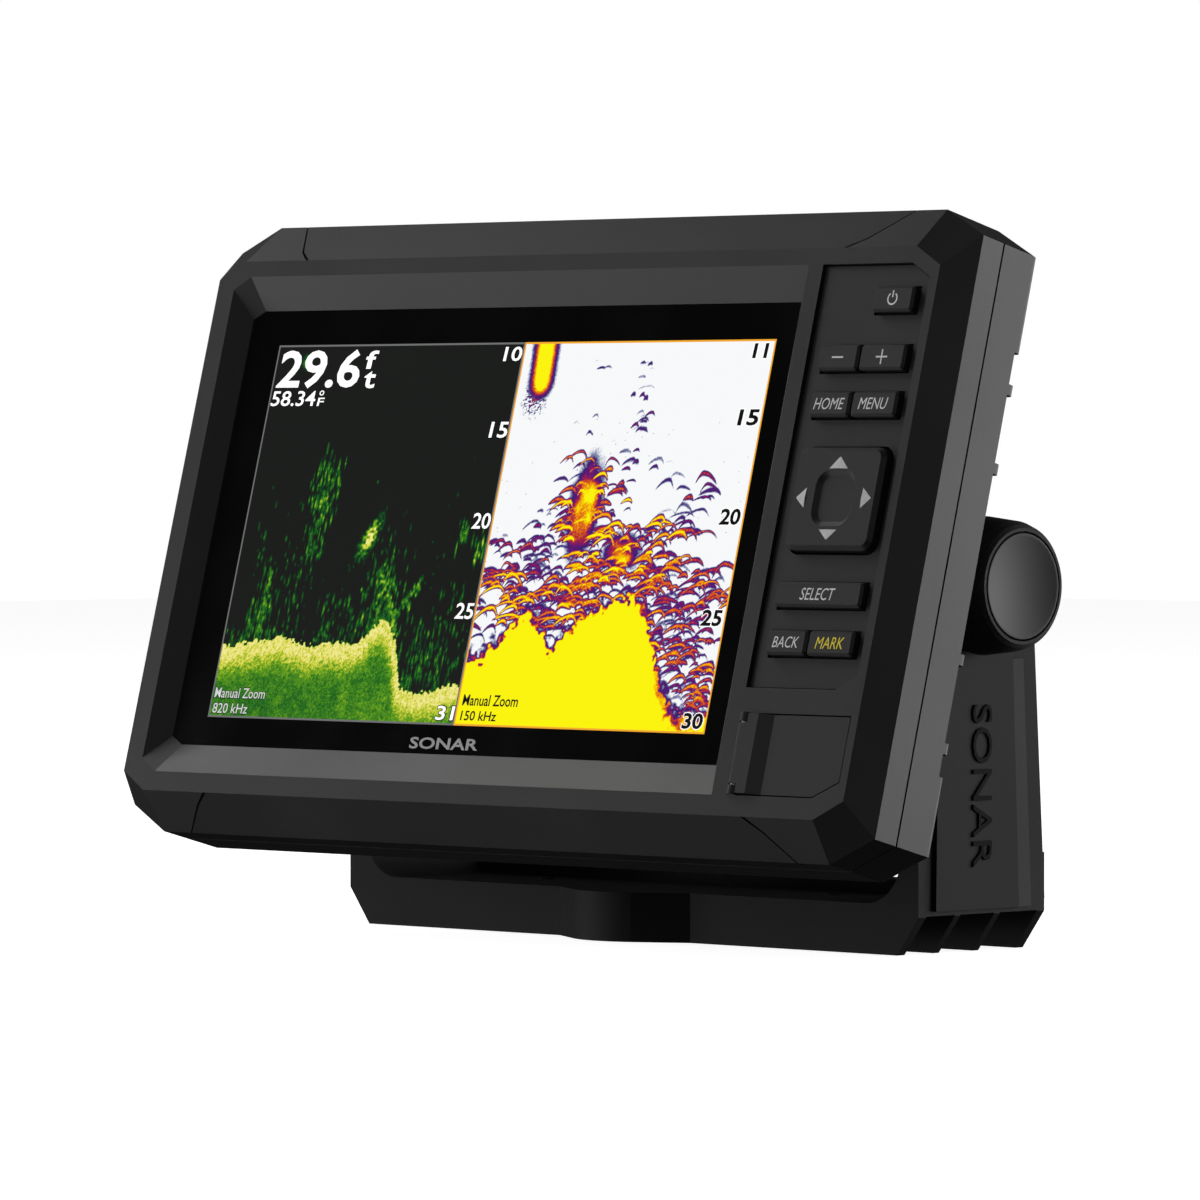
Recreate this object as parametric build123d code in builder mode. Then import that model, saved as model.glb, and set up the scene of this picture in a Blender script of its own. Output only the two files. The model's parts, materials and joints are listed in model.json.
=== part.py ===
from build123d import *
import os
from math import cos, radians, sin

# A sonar display for a small boat: a flat head with a 7 inch screen and a column of keys, which
# clips into a cradle. The cradle tilts between the arms of a bail bracket and two knobs clamp it.
# Millimetres. The origin is the middle of the bracket's underside, +Z up, and the screen faces -Y.

# ---- driving dimensions -------------------------------------------------------------------
LEAN = 14.9            # how far the head leans back at rest, degrees
FACE_Y = -49.6         # middle of the screen's height, on the front of the glass
FACE_Z = 89.05

HALF_W = 113.5         # head outline
TOP_V = 71.8
LOW_V = -68.7
CORNER_X = 11.5        # cut corners of the outline
CORNER_V = 5.8

LAND_HALF_W = 110.3    # flat front land, inside the sloping outer facets
LAND_TOP_V = 61.6
LAND_LOW_V = -61.0
LAND_CORNER_X = 7.6
LAND_CORNER_V = 4.2

LAND_H = 4.0           # distances in front of the glass
EDGE_H = -4.0
PARTING_H = -10.4
FLANGE_H = -21.6
BOX_H = -38.0

WALL = 3.0
FACE_WALL_H = 1.0      # back of the bezel's front wall

TILT_Y = -2.9          # tilt axis
TILT_Z = 78.3

BASE_HALF_Y = 20.0     # bracket
BASE_TOP = 10.8
RIDGE_TOP = 13.8         # ridge along the base's rear edge
RIDGE_FOOT_Y = 8.0
RIDGE_Y = 13.0
BASE_FOOT_X = 81.0
ARM_IN = 82.0
ARM_OUT = 87.2
PANEL_OUT = 88.0
ARM_HEAD_R = 14.8
CHANNEL_TOP = 8.4
SCREW_X = 44.0         # the two screws that hold the bracket down
SCREW_R = 2.3

KNOB_OUT = 101.5
STUD_R = 3.0
EAR_OUT = 81.1         # outer face of the cradle's pivot ears
EAR_IN = 73.9
EAR_R = 13.0

KEY_TOP_H = 5.0
PANEL_H = 3.2          # front of the key panel
KEY_GAP = 0.4
KEY_TRAVEL_ROOM = 1.2  # free space under each key

# ---- planes -------------------------------------------------------------------------------
lean = radians(LEAN)
FACE_ORIGIN = (0, FACE_Y, FACE_Z)
UP_FACE = (0, sin(lean), cos(lean))
OUT_OF_FACE = (0, -cos(lean), sin(lean))
HEAD = Plane(origin=FACE_ORIGIN, x_dir=(1, 0, 0), z_dir=OUT_OF_FACE)
OUTWARD = Axis(FACE_ORIGIN, OUT_OF_FACE)
TILT_AXIS = Axis((0, TILT_Y, TILT_Z), (1, 0, 0))
SIDE = Plane(origin=FACE_ORIGIN, x_dir=UP_FACE, z_dir=(1, 0, 0))
ACROSS = Plane(origin=FACE_ORIGIN, x_dir=(1, 0, 0), z_dir=(0, -sin(lean), -cos(lean)))
TILT_V = (TILT_Y - FACE_Y) * sin(lean) + (TILT_Z - FACE_Z) * cos(lean)
TILT_H = -(TILT_Y - FACE_Y) * cos(lean) + (TILT_Z - FACE_Z) * sin(lean)


def head(h):
    """Plane parallel to the glass, h in front of it: X across the head, Y up its face."""
    return HEAD.offset(h)


def side(x):
    """Plane across the head's width at x: X up the face, Y out of the face."""
    return SIDE.offset(x)


def below(v):
    """Plane across the head's height, v above the screen's middle: X across, Y out of the face."""
    return ACROSS.offset(-v)


def cut_corners(left, right, low, high, cut_x, cut_v):
    """The eight corner points of a rectangle whose corners are cut off."""
    return [
        (left + cut_x, low), (right - cut_x, low), (right, low + cut_v), (right, high - cut_v),
        (right - cut_x, high), (left + cut_x, high), (left, high - cut_v), (left, low + cut_v),
    ]


def left_cut(left, right, low, high, cut_x, cut_v):
    """The six corner points of a rectangle whose two left corners are cut off."""
    return [
        (left + cut_x, low), (right, low), (right, high),
        (left + cut_x, high), (left, high - cut_v), (left, low + cut_v),
    ]


def outline(inset=0.0):
    """Adds the head's outline, inset all round, to the sketch."""
    Polygon(*cut_corners(-HALF_W, HALF_W, LOW_V, TOP_V, CORNER_X, CORNER_V), align=None)
    if inset:
        offset(amount=-inset, kind=Kind.INTERSECTION)


def area(left, right, low, high, radius=0.0, mode=Mode.ADD):
    """Adds a rectangle given by its four sides, with rounded corners if it has a radius."""
    with Locations(((left + right) / 2, (low + high) / 2)):
        if radius:
            RectangleRounded(right - left, high - low, radius, mode=mode)
        else:
            Rectangle(right - left, high - low, mode=mode)


# ---- front bezel --------------------------------------------------------------------------
GLASS = (-100.9, 68.7, -49.5, 51.0)          # left, right, low and high edges
GLASS_CUT = (3.6, 1.9)
RECESS = (-105.0, 72.8, -56.6, 58.0)
RECESS_CUT = (5.0, 3.0)
GLASS_T = 1.5
WINDOW = (-96.0, 66.4, -46.6, 46.6)
SEAT = (-107.0, 75.0, -58.6, 60.0)           # thick ring round the glass
SEAT_H = -3.0
KEY_AREA = (77.0, 108.0, -33.5, 58.0)
KEY_AREA_CUT = (5.5, 3.2)
KEY_OPENING = (79.0, 107.2, -31.4, 56.0)
KEY_LEDGE_H = 2.0
DOOR_AREA = (77.0, 108.3, -56.5, -38.9)
DOOR_CUT = (7.0, 3.5)
WELL = (80.0, 105.6, -53.4, -41.4)
WELL_FLOOR_H = -1.4
SLOT_W, SLOT_T = 12.0, 1.2
CARD_X = (86.4, 99.2)
CARD_V = -47.4
TRIM_X = (82.0, 86.4, 94.0)                  # half widths of the trims at the seam's three points
TRIM_STEP_V = 2.6
TRIM_T = 1.6
SEAM = 0.4
BOSSES = [(x, v) for x in (-104.0, 104.0) for v in (-58.8, 60.0)]
BOSSES += [(x, v) for x in (-38.0, 38.0) for v in (-58.8, 58.8)]
BOSS_R = 3.4
SCREW_HOLE_R = 1.45
DISPLAY_POSTS = [(x, v) for x in (-103.4, 71.4) for v in (-44.0, 44.0)]


def key_area(clearance=0.0):
    """Adds the key panel's outline: a rectangle with its right corners cut."""
    left, right, low, high = KEY_AREA
    cut_x, cut_v = KEY_AREA_CUT
    Polygon((left, low), (right - cut_x, low), (right, low + cut_v), (right, high - cut_v),
            (right - cut_x, high), (left, high), align=None)
    if clearance:
        offset(amount=-clearance, kind=Kind.INTERSECTION)


def door_area(clearance=0.0):
    """Adds the card door's outline: a rectangle with its lower right corner cut."""
    left, right, low, high = DOOR_AREA
    cut_x, cut_v = DOOR_CUT
    Polygon((left, low), (right - cut_x, low), (right, low + cut_v), (right, high),
            (left, high), align=None)
    if clearance:
        offset(amount=-clearance, kind=Kind.INTERSECTION)


def trim_skin(sign, thickness):
    """Adds the section of a trim: a skin over the outer facet and the wall behind it."""
    high = TOP_V if sign > 0 else -LOW_V
    land = LAND_TOP_V if sign > 0 else -LAND_LOW_V
    run, fall = high - land, LAND_H - EDGE_H
    length = (run**2 + fall**2) ** 0.5
    step_v, step_h = thickness * fall / length, thickness * run / length
    inner_v = high - thickness
    inner_h = LAND_H - step_h - (inner_v - land + step_v) * fall / run
    points = [(high, PARTING_H), (high, EDGE_H), (land, LAND_H), (land - step_v, LAND_H - step_h),
              (inner_v, inner_h), (inner_v, PARTING_H)]
    Polygon(*[(sign * v, h) for v, h in points], align=None)


def trim_plan(sign, grow):
    """Adds the plan of a trim, seen from the front: wide at the edge and narrow at the seam."""
    land = LAND_TOP_V if sign > 0 else -LAND_LOW_V
    high = (TOP_V if sign > 0 else -LOW_V) + 1.0
    seam, shoulder, edge = TRIM_X
    right = [(seam, land - grow), (shoulder, land + TRIM_STEP_V - grow / 2), (edge, high)]
    points = [(x + grow, v) for x, v in right] + [(-x - grow, v) for x, v in reversed(right)]
    Polygon(*[(x, sign * v) for x, v in points], align=None)


def trim_piece(sign, grow):
    """The trim above (sign 1) or below (sign -1) the screen, grown sideways at the seam."""
    with BuildPart() as piece:
        with BuildSketch(side(-TRIM_X[2] - 1)):
            trim_skin(sign, TRIM_T)
        extrude(amount=2 * TRIM_X[2] + 2)
        with BuildSketch(head(PARTING_H - 1)):
            trim_plan(sign, grow)
        extrude(amount=20, mode=Mode.INTERSECT)
    return piece


top_trim = trim_piece(1, 0)
bottom_trim = trim_piece(-1, 0)
trim_rooms = [trim_piece(1, SEAM), trim_piece(-1, SEAM)]

with BuildPart() as front_bezel:
    with BuildSketch(head(PARTING_H)):
        outline()
    extrude(amount=EDGE_H - PARTING_H)
    with BuildSketch(head(EDGE_H)):
        outline()
    with BuildSketch(head(LAND_H)):
        Polygon(*cut_corners(-LAND_HALF_W, LAND_HALF_W, LAND_LOW_V, LAND_TOP_V,
                             LAND_CORNER_X, LAND_CORNER_V), align=None)
    loft(ruled=True)
    # hollow from behind: straight inside the side walls, then narrowing under the facets
    with BuildSketch(head(PARTING_H)):
        outline(WALL)
    extrude(amount=5.4, mode=Mode.SUBTRACT)
    with BuildSketch(head(PARTING_H + 5.4)):
        Polygon(*cut_corners(-109.6, 109.6, -64.2, 66.4, 9.0, 5.0), align=None)
    with BuildSketch(head(FACE_WALL_H)):
        Polygon(*cut_corners(-107.0, 107.0, -57.6, 58.2, 7.0, 4.0), align=None)
    loft(ruled=True, mode=Mode.SUBTRACT)
    # thick seat for the glass, and the cup behind the card door
    with BuildSketch(head(SEAT_H)):
        area(*SEAT)
    extrude(amount=FACE_WALL_H - SEAT_H)
    with BuildSketch(head(WELL_FLOOR_H - 1.4)):
        area(75.0, 109.0, -58.6, -37.4)
    extrude(amount=FACE_WALL_H - WELL_FLOOR_H + 1.4)
    # columns that the case screws go into
    with BuildSketch(head(FLANGE_H + 2.7)):
        with Locations(*BOSSES):
            Circle(BOSS_R)
    extrude(amount=FACE_WALL_H - FLANGE_H - 2.7)
    with BuildSketch(head(FLANGE_H + 2.7)):
        with Locations(*BOSSES):
            Circle(SCREW_HOLE_R)
    extrude(amount=15.0, mode=Mode.SUBTRACT)
    # glass pocket, window and the sloping recess in front of the glass
    with BuildSketch(head(0)):
        Polygon(*left_cut(*GLASS, *GLASS_CUT), align=None)
    with BuildSketch(head(LAND_H)):
        Polygon(*left_cut(*RECESS, *RECESS_CUT), align=None)
    loft(ruled=True, mode=Mode.SUBTRACT)
    with BuildSketch(head(-GLASS_T)):
        Polygon(*left_cut(*GLASS, *GLASS_CUT), align=None)
    extrude(amount=GLASS_T, mode=Mode.SUBTRACT)
    with BuildSketch(head(SEAT_H)):
        area(*WINDOW, 1.5)
    extrude(amount=2 - SEAT_H, mode=Mode.SUBTRACT)
    with BuildSketch(head(SEAT_H)):
        with Locations(*DISPLAY_POSTS):
            Circle(1.05)
    extrude(amount=2.6, mode=Mode.SUBTRACT)
    # key panel pocket and opening
    with BuildSketch(head(KEY_LEDGE_H)):
        key_area()
    extrude(amount=3, mode=Mode.SUBTRACT)
    with BuildSketch(head(0)):
        area(*KEY_OPENING, 2.0)
    extrude(amount=3, mode=Mode.SUBTRACT)
    # card door rebate, well and card slots
    with BuildSketch(head(2.0)):
        door_area()
    extrude(amount=4, mode=Mode.SUBTRACT)
    with BuildSketch(head(WELL_FLOOR_H)):
        area(*WELL, 1.5)
    extrude(amount=5, mode=Mode.SUBTRACT)
    with BuildSketch(head(WELL_FLOOR_H - 3)):
        with Locations(*[(x, CARD_V) for x in CARD_X]):
            Rectangle(SLOT_T, SLOT_W)
    extrude(amount=5, mode=Mode.SUBTRACT)
    # recesses for the two trims
    for trim_room in trim_rooms:
        add(trim_room.part, mode=Mode.SUBTRACT)

# ---- rear case ----------------------------------------------------------------------------
BOX = (-78.0, 78.0, -50.0, 50.0)             # box on the back that holds the sonar board
BOX_R = 8.0
BOX_WALL = 2.5
NOTCH_V = (-46.0, 45.0)                      # shallow notches in the side walls' rear edges
RIB_V = (-40.0, -21.0, 20.0, 37.0)
RIB_W = 2.3
NOTCH_T = 2.0
GASKET_IN = (0.9, 2.1)                       # how far the gasket lies inside the outline
GASKET_T = 1.2
BOARD_POSTS = [(x, v) for x in (-90.0, 90.0) for v in (-45.0, 45.0)]
SONAR_POSTS = [(x, v) for x in (-68.0, 68.0) for v in (-38.0, 38.0)]
POST_R = 3.0
POST_HOLE_R = 1.25
BOARD_H = -14.0
SONAR_H = -28.0
BOARD_T = 1.6
CONNECTOR = (-24.0, 24.0, -10.0, 10.0)
VENT = (0.0, -36.0)
VENT_R = 3.0
FLOOR_H = FLANGE_H + BOX_WALL
BOX_FLOOR_H = BOX_H + BOX_WALL


def outline_ring(outer, inner):
    """Adds the band of the head's outline that lies between two insets."""
    outline(outer)
    offset(amount=outer - inner, kind=Kind.INTERSECTION, mode=Mode.SUBTRACT)


with BuildPart() as rear_case:
    with BuildSketch(head(FLANGE_H)):
        outline()
    extrude(amount=PARTING_H - FLANGE_H - 0.5)
    with BuildSketch(head(PARTING_H - 0.5)):
        outline(0.4)
    extrude(amount=0.5)
    fillet(rear_case.faces().sort_by(OUTWARD).first.edges(), radius=1.2)
    with BuildSketch(head(BOX_H)):
        area(*BOX, BOX_R)
    extrude(amount=FLANGE_H - BOX_H)
    chamfer(rear_case.faces().sort_by(OUTWARD).first.edges(), length=2.0)
    with BuildSketch(head(FLOOR_H)):
        outline(WALL)
    extrude(amount=12, mode=Mode.SUBTRACT)
    with BuildSketch(head(BOX_FLOOR_H)):
        area(BOX[0] + BOX_WALL, BOX[1] - BOX_WALL, BOX[2] + BOX_WALL, BOX[3] - BOX_WALL,
             BOX_R - BOX_WALL)
    extrude(amount=20, mode=Mode.SUBTRACT)
    with BuildSketch(head(PARTING_H - GASKET_T)):
        outline_ring(*GASKET_IN)
    extrude(amount=2, mode=Mode.SUBTRACT)
    # posts for the two boards
    with BuildSketch(head(FLOOR_H)):
        with Locations(*BOARD_POSTS):
            Circle(POST_R)
    extrude(amount=BOARD_H - FLOOR_H)
    with BuildSketch(head(BOX_FLOOR_H)):
        with Locations(*SONAR_POSTS):
            Circle(POST_R)
    extrude(amount=SONAR_H - BOX_FLOOR_H)
    with BuildSketch(head(FLOOR_H)):
        with Locations(*BOARD_POSTS):
            Circle(POST_HOLE_R)
    extrude(amount=8, mode=Mode.SUBTRACT)
    with BuildSketch(head(BOX_FLOOR_H + 0.5)):
        with Locations(*SONAR_POSTS):
            Circle(POST_HOLE_R)
    extrude(amount=8, mode=Mode.SUBTRACT)
    # holes for the case screws, the rear connector and the vent
    with BuildSketch(head(FLANGE_H)):
        with Locations(*BOSSES):
            Circle(3.0)
    extrude(amount=1.7, mode=Mode.SUBTRACT)
    with BuildSketch(head(FLANGE_H)):
        with Locations(*BOSSES):
            Circle(SCREW_HOLE_R + 0.1)
    extrude(amount=3, mode=Mode.SUBTRACT)
    with BuildSketch(head(BOX_H)):
        area(*CONNECTOR, 1.0)
        with Locations(VENT):
            Circle(VENT_R)
    extrude(amount=3, mode=Mode.SUBTRACT)
    # notches in the rear edges of both side walls, with ribs left standing between them
    stops = [NOTCH_V[0]]
    for v in RIB_V:
        stops += [v - RIB_W / 2, v + RIB_W / 2]
    stops += [NOTCH_V[1]]
    with BuildSketch(head(FLANGE_H)):
        for low, high in zip(stops[::2], stops[1::2]):
            area(HALF_W - 2.2, HALF_W + 1, low, high)
            area(-HALF_W - 1, -HALF_W + 2.2, low, high)
    extrude(amount=NOTCH_T, mode=Mode.SUBTRACT)

with BuildPart() as case_gasket:
    with BuildSketch(head(PARTING_H - GASKET_T)):
        outline_ring(*GASKET_IN)
    extrude(amount=GASKET_T)

with BuildPart() as case_screws:
    with BuildSketch(head(FLANGE_H + 0.1)):
        with Locations(*BOSSES):
            Circle(2.8)
    extrude(amount=1.6)
    with BuildSketch(head(FLANGE_H + 1.7)):
        with Locations(*BOSSES):
            Circle(SCREW_HOLE_R - 0.05)
    extrude(amount=12)

with BuildPart() as vent_plug:
    with BuildSketch(head(BOX_H)):
        with Locations(VENT):
            Circle(VENT_R)
    extrude(amount=BOX_WALL)

# ---- display ------------------------------------------------------------------------------
LCD = (-92.8, 65.8, -46.0, 46.0)
LCD_T = 1.4
BACKLIGHT_T = 3.7
FRAME_T = 1.2
DISPLAY_FRAME = (-106.5, 73.8, -52.0, 52.0)
FRAME_H = -GLASS_T - LCD_T - BACKLIGHT_T

with BuildPart() as cover_glass:
    with BuildSketch(head(-GLASS_T)):
        Polygon(*left_cut(*GLASS, *GLASS_CUT), align=None)
    extrude(amount=GLASS_T)

with BuildPart() as lcd_panel:
    with BuildSketch(head(-GLASS_T - LCD_T)):
        area(*LCD, 1.0)
    extrude(amount=LCD_T)

with BuildPart() as backlight:
    with BuildSketch(head(FRAME_H)):
        area(*LCD, 1.0)
    extrude(amount=BACKLIGHT_T)

with BuildPart() as display_frame:
    with BuildSketch(head(FRAME_H - FRAME_T)):
        area(*DISPLAY_FRAME, 2.0)
        with GridLocations(44, 30, 3, 2):
            Rectangle(30, 18, mode=Mode.SUBTRACT)
    extrude(amount=FRAME_T)
    with BuildSketch(head(FRAME_H)):
        with Locations(*DISPLAY_POSTS):
            Circle(2.3)
    extrude(amount=SEAT_H - FRAME_H)
    with BuildSketch(head(FRAME_H - FRAME_T)):
        with Locations(*DISPLAY_POSTS):
            Circle(1.1)
    extrude(amount=6, mode=Mode.SUBTRACT)

with BuildPart() as display_screws:
    with BuildSketch(head(FRAME_H - FRAME_T - 1.5)):
        with Locations(*DISPLAY_POSTS):
            Circle(2.0)
    extrude(amount=1.5)
    with BuildSketch(head(FRAME_H - FRAME_T)):
        with Locations(*DISPLAY_POSTS):
            Circle(1.0)
    extrude(amount=6.4)

# ---- boards -------------------------------------------------------------------------------
MAIN_BOARD = (-96.0, 96.0, -51.0, 51.0)
SONAR_BOARD = (-72.0, 72.0, -43.0, 43.0)

with BuildPart() as main_board:
    with BuildSketch(head(BOARD_H)):
        area(*MAIN_BOARD, 2.0)
        with Locations(*BOARD_POSTS):
            Circle(POST_HOLE_R + 0.05, mode=Mode.SUBTRACT)
    extrude(amount=BOARD_T)

with BuildPart() as sonar_board:
    with BuildSketch(head(SONAR_H)):
        area(*SONAR_BOARD, 2.0)
        with Locations(*SONAR_POSTS):
            Circle(POST_HOLE_R + 0.05, mode=Mode.SUBTRACT)
    extrude(amount=BOARD_T)

with BuildPart() as board_screws:
    for level, posts in ((BOARD_H, BOARD_POSTS), (SONAR_H, SONAR_POSTS)):
        with BuildSketch(head(level + BOARD_T)):
            with Locations(*posts):
                Circle(2.4)
        extrude(amount=1.6)
        with BuildSketch(head(level + BOARD_T - 5.4)):
            with Locations(*posts):
                Circle(POST_HOLE_R - 0.05)
        extrude(amount=5.4)

with BuildPart() as main_chips:
    for x, v, w, d, t in ((-10, 4, 17, 17, 1.4), (16, 12, 12, 9, 1.1), (16, -3, 12, 9, 1.1),
                          (-38, -12, 10, 10, 1.2), (45, -24, 14, 9, 1.6), (-72, -30, 9, 7, 1.1)):
        with BuildSketch(head(BOARD_H + BOARD_T)):
            with Locations((x, v)):
                Rectangle(w, d)
        extrude(amount=t)

with BuildPart() as shield_can:
    with BuildSketch(head(BOARD_H - 3.0)):
        area(-32, 32, -20, 24, 2.0)
    extrude(amount=3.0)
    with BuildSketch(head(BOARD_H - 2.7)):
        area(-31.7, 31.7, -19.7, 23.7, 1.7)
    extrude(amount=3.0, mode=Mode.SUBTRACT)

with BuildPart() as gps_antenna:
    with BuildSketch(head(BOARD_H + BOARD_T)):
        area(-72, -47, 18, 43, 1.0)
    extrude(amount=3.6)
    chamfer(gps_antenna.faces().sort_by(OUTWARD).last.edges(), length=0.4)

with BuildPart() as buzzer:
    with BuildSketch(head(BOARD_H + BOARD_T)):
        with Locations((86, -14)):
            Circle(6.0)
    extrude(amount=4.4)
    with BuildSketch(head(BOARD_H + BOARD_T + 3.4)):
        with Locations((86, -14)):
            Circle(1.2)
    extrude(amount=2, mode=Mode.SUBTRACT)

with BuildPart() as sonar_chips:
    for x, v, w, d, t in ((46, 20, 16, 14, 8.5), (46, -18, 12, 12, 1.4), (0, -26, 20, 8, 1.6),
                          (-20, 28, 10, 8, 2.0)):
        with BuildSketch(head(SONAR_H + BOARD_T)):
            with Locations((x, v)):
                Rectangle(w, d)
        extrude(amount=t)
    for x, v in ((-50, 18), (-50, 4), (-50, -10)):
        with BuildSketch(head(SONAR_H + BOARD_T)):
            with Locations((x, v)):
                Circle(5.0)
        extrude(amount=9.0)

with BuildPart() as heat_spreader:
    with BuildSketch(head(BOX_FLOOR_H)):
        area(-60, 60, 13, 34, 2.0)
    extrude(amount=3.0)
    with BuildSketch(head(BOX_FLOOR_H + 3.0)):
        with Locations((-45, 23.5), (0, 23.5), (45, 23.5)):
            Rectangle(22, 16)
    extrude(amount=SONAR_H - BOX_FLOOR_H - 3.0)

with BuildPart() as rear_connector:
    with BuildSketch(head(BOX_H)):
        area(*CONNECTOR, 1.0)
    extrude(amount=7.5)
    with BuildSketch(head(BOX_H)):
        area(-20, 20, -6.5, 6.5, 1.5)
    extrude(amount=5.0, mode=Mode.SUBTRACT)

# ---- keys ---------------------------------------------------------------------------------
MAT_H = 0.0
MAT_T = 1.2
MAT = (77.0, 106.6, -33.2, 56.0)
KEYPAD_BOARD = (74.2, 106.6, -33.8, 56.2)
DPAD = (81.3, 105.9, -4.1, 18.0)
DPAD_R = 2.6
DPAD_TOP_H = 5.6
DPAD_LOW_H = 1.6
DISH = (9.0, 9.8)        # flat of the shallow dish in the pad's middle
DISH_R = 2.4
DISH_DEPTH = 0.8
DISH_SLOPE = 55
LEFT_KEY, RIGHT_KEY = (81.2, 92.6), (93.0, 105.8)
KEYS = {
    "power_key": (93.8, 105.2, 47.3, 52.7),
    "minus_key": (*LEFT_KEY, 34.7, 40.2),
    "plus_key": (*RIGHT_KEY, 34.7, 40.2),
    "home_key": (*LEFT_KEY, 24.7, 30.1),
    "menu_key": (*RIGHT_KEY, 24.7, 30.1),
    "select_key": (LEFT_KEY[0], RIGHT_KEY[1], -16.2, -10.8),
    "back_key": (*LEFT_KEY, -26.5, -21.2),
    "mark_key": (*RIGHT_KEY, -26.5, -21.2),
}
KEY_FLANGE = 0.8
KEY_FLANGE_T = 0.6
KEY_BEVEL = 0.55


def middle(box):
    """The middle of a rectangle given by its four sides."""
    return ((box[0] + box[1]) / 2, (box[2] + box[3]) / 2)


DPAD_MID = middle(DPAD)
ROCKERS = [(DPAD_MID[0] + 8.5 * a, DPAD_MID[1] + 7.5 * b) for a, b in
           ((1, 0), (-1, 0), (0, 1), (0, -1))]
DOME_PLACES = [middle(box) for box in KEYS.values()] + ROCKERS

keys = {}
for key_name, (left, right, low, high) in KEYS.items():
    with BuildPart() as key:
        with BuildSketch(head(MAT_H + KEY_TRAVEL_ROOM)):
            area(left, right, low - KEY_FLANGE, high + KEY_FLANGE)
        extrude(amount=KEY_FLANGE_T)
        with BuildSketch(head(MAT_H + KEY_TRAVEL_ROOM + KEY_FLANGE_T)):
            area(left, right, low, high, 0.8)
        extrude(amount=KEY_TOP_H - MAT_H - KEY_TRAVEL_ROOM - KEY_FLANGE_T)
        chamfer(key.faces().sort_by(OUTWARD).last.edges(), length=KEY_BEVEL)
    keys[key_name] = key

with BuildPart() as dpad_key:
    with BuildSketch(head(DPAD_LOW_H)):
        area(*DPAD, DPAD_R)
    extrude(amount=DPAD_TOP_H - DPAD_LOW_H)
    chamfer(dpad_key.faces().sort_by(OUTWARD).last.edges(), length=0.9)
    with BuildSketch(head(DPAD_TOP_H - DISH_DEPTH)):
        with Locations(DPAD_MID):
            RectangleRounded(*DISH, DISH_R)
    extrude(amount=DISH_DEPTH + 0.1, taper=-DISH_SLOPE, mode=Mode.SUBTRACT)

with BuildPart() as dpad_actuator:
    with BuildSketch(head(MAT_H + 0.35)):
        with Locations(DPAD_MID):
            Circle(3.2)
    extrude(amount=0.9)
    chamfer(dpad_actuator.faces().sort_by(OUTWARD).last.edges(), length=0.2)

with BuildPart() as keypad_panel:
    with BuildSketch(head(KEY_LEDGE_H)):
        key_area(0.3)
        for left, right, low, high in KEYS.values():
            with Locations(middle((left, right, low, high))):
                Rectangle(right - left + 2 * KEY_GAP, high - low + 2 * KEY_GAP, mode=Mode.SUBTRACT)
        with Locations(DPAD_MID):
            RectangleRounded(DPAD[1] - DPAD[0] + 1.2, DPAD[3] - DPAD[2] + 1.2, DPAD_R + 0.6,
                             mode=Mode.SUBTRACT)
    extrude(amount=PANEL_H - KEY_LEDGE_H)

with BuildPart() as keypad_mat:
    with BuildSketch(head(SEAT_H)):
        area(*MAT, 1.5)
    extrude(amount=MAT_H - SEAT_H)
    with BuildSketch(head(SEAT_H)):
        area(MAT[0] + 1.2, MAT[1] - 1.2, MAT[2] + 1.2, MAT[3] - 1.2, 0.8)
    extrude(amount=MAT_H - SEAT_H - MAT_T, mode=Mode.SUBTRACT)
    with BuildSketch(head(SEAT_H + 0.8)):
        with Locations(*DOME_PLACES):
            Circle(1.2)
    extrude(amount=MAT_H - SEAT_H - MAT_T)

with BuildPart() as keypad_board:
    with BuildSketch(head(SEAT_H - BOARD_T)):
        area(*KEYPAD_BOARD, 1.0)
    extrude(amount=BOARD_T)

with BuildPart() as key_domes:
    with BuildSketch(head(SEAT_H)):
        with Locations(*DOME_PLACES):
            Circle(2.2)
    extrude(amount=0.5, taper=35)

# ---- card door ----------------------------------------------------------------------------
HINGE_X, HINGE_H = 78.6, 3.95
KNUCKLE_R = 1.25
PIN_R = 0.8
DOOR_LOW_H = 2.3
DOOR_TOP_H = 3.9
DOOR_RAISED_H = 5.2
LUG_L = 2.0
LUG_GAP = 0.3
STRIP_X = (83.2, 86.6)                       # where the raised part slopes down
SEAL = (81.6, 103.8, -51.8, -43.0)

with BuildPart() as card_door:
    with BuildSketch(below(DOOR_AREA[3] - 0.3)):
        with Locations((HINGE_X, HINGE_H)):
            Circle(KNUCKLE_R)
        Polygon((HINGE_X, DOOR_LOW_H + 0.4), (HINGE_X + 2, DOOR_LOW_H), (DOOR_AREA[1], DOOR_LOW_H),
                (DOOR_AREA[1], DOOR_TOP_H), (STRIP_X[1], DOOR_TOP_H), (STRIP_X[0], DOOR_RAISED_H),
                (HINGE_X, DOOR_RAISED_H), align=None)
    extrude(amount=DOOR_AREA[3] - DOOR_AREA[2] - 0.6)
    with BuildSketch(head(0)):
        door_area(0.3)
    extrude(amount=10, mode=Mode.INTERSECT)
    # room for the two hinge lugs, and the bore for the pin
    with BuildSketch(head(0)):
        area(DOOR_AREA[0], HINGE_X + 1.7, DOOR_AREA[3] - LUG_L - LUG_GAP, DOOR_AREA[3])
        area(DOOR_AREA[0], HINGE_X + 1.7, DOOR_AREA[2], DOOR_AREA[2] + LUG_L + LUG_GAP)
    extrude(amount=10, mode=Mode.SUBTRACT)
    with BuildSketch(below(DOOR_AREA[3])):
        with Locations((HINGE_X, HINGE_H)):
            Circle(PIN_R + 0.06)
    extrude(amount=20, mode=Mode.SUBTRACT)

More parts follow.
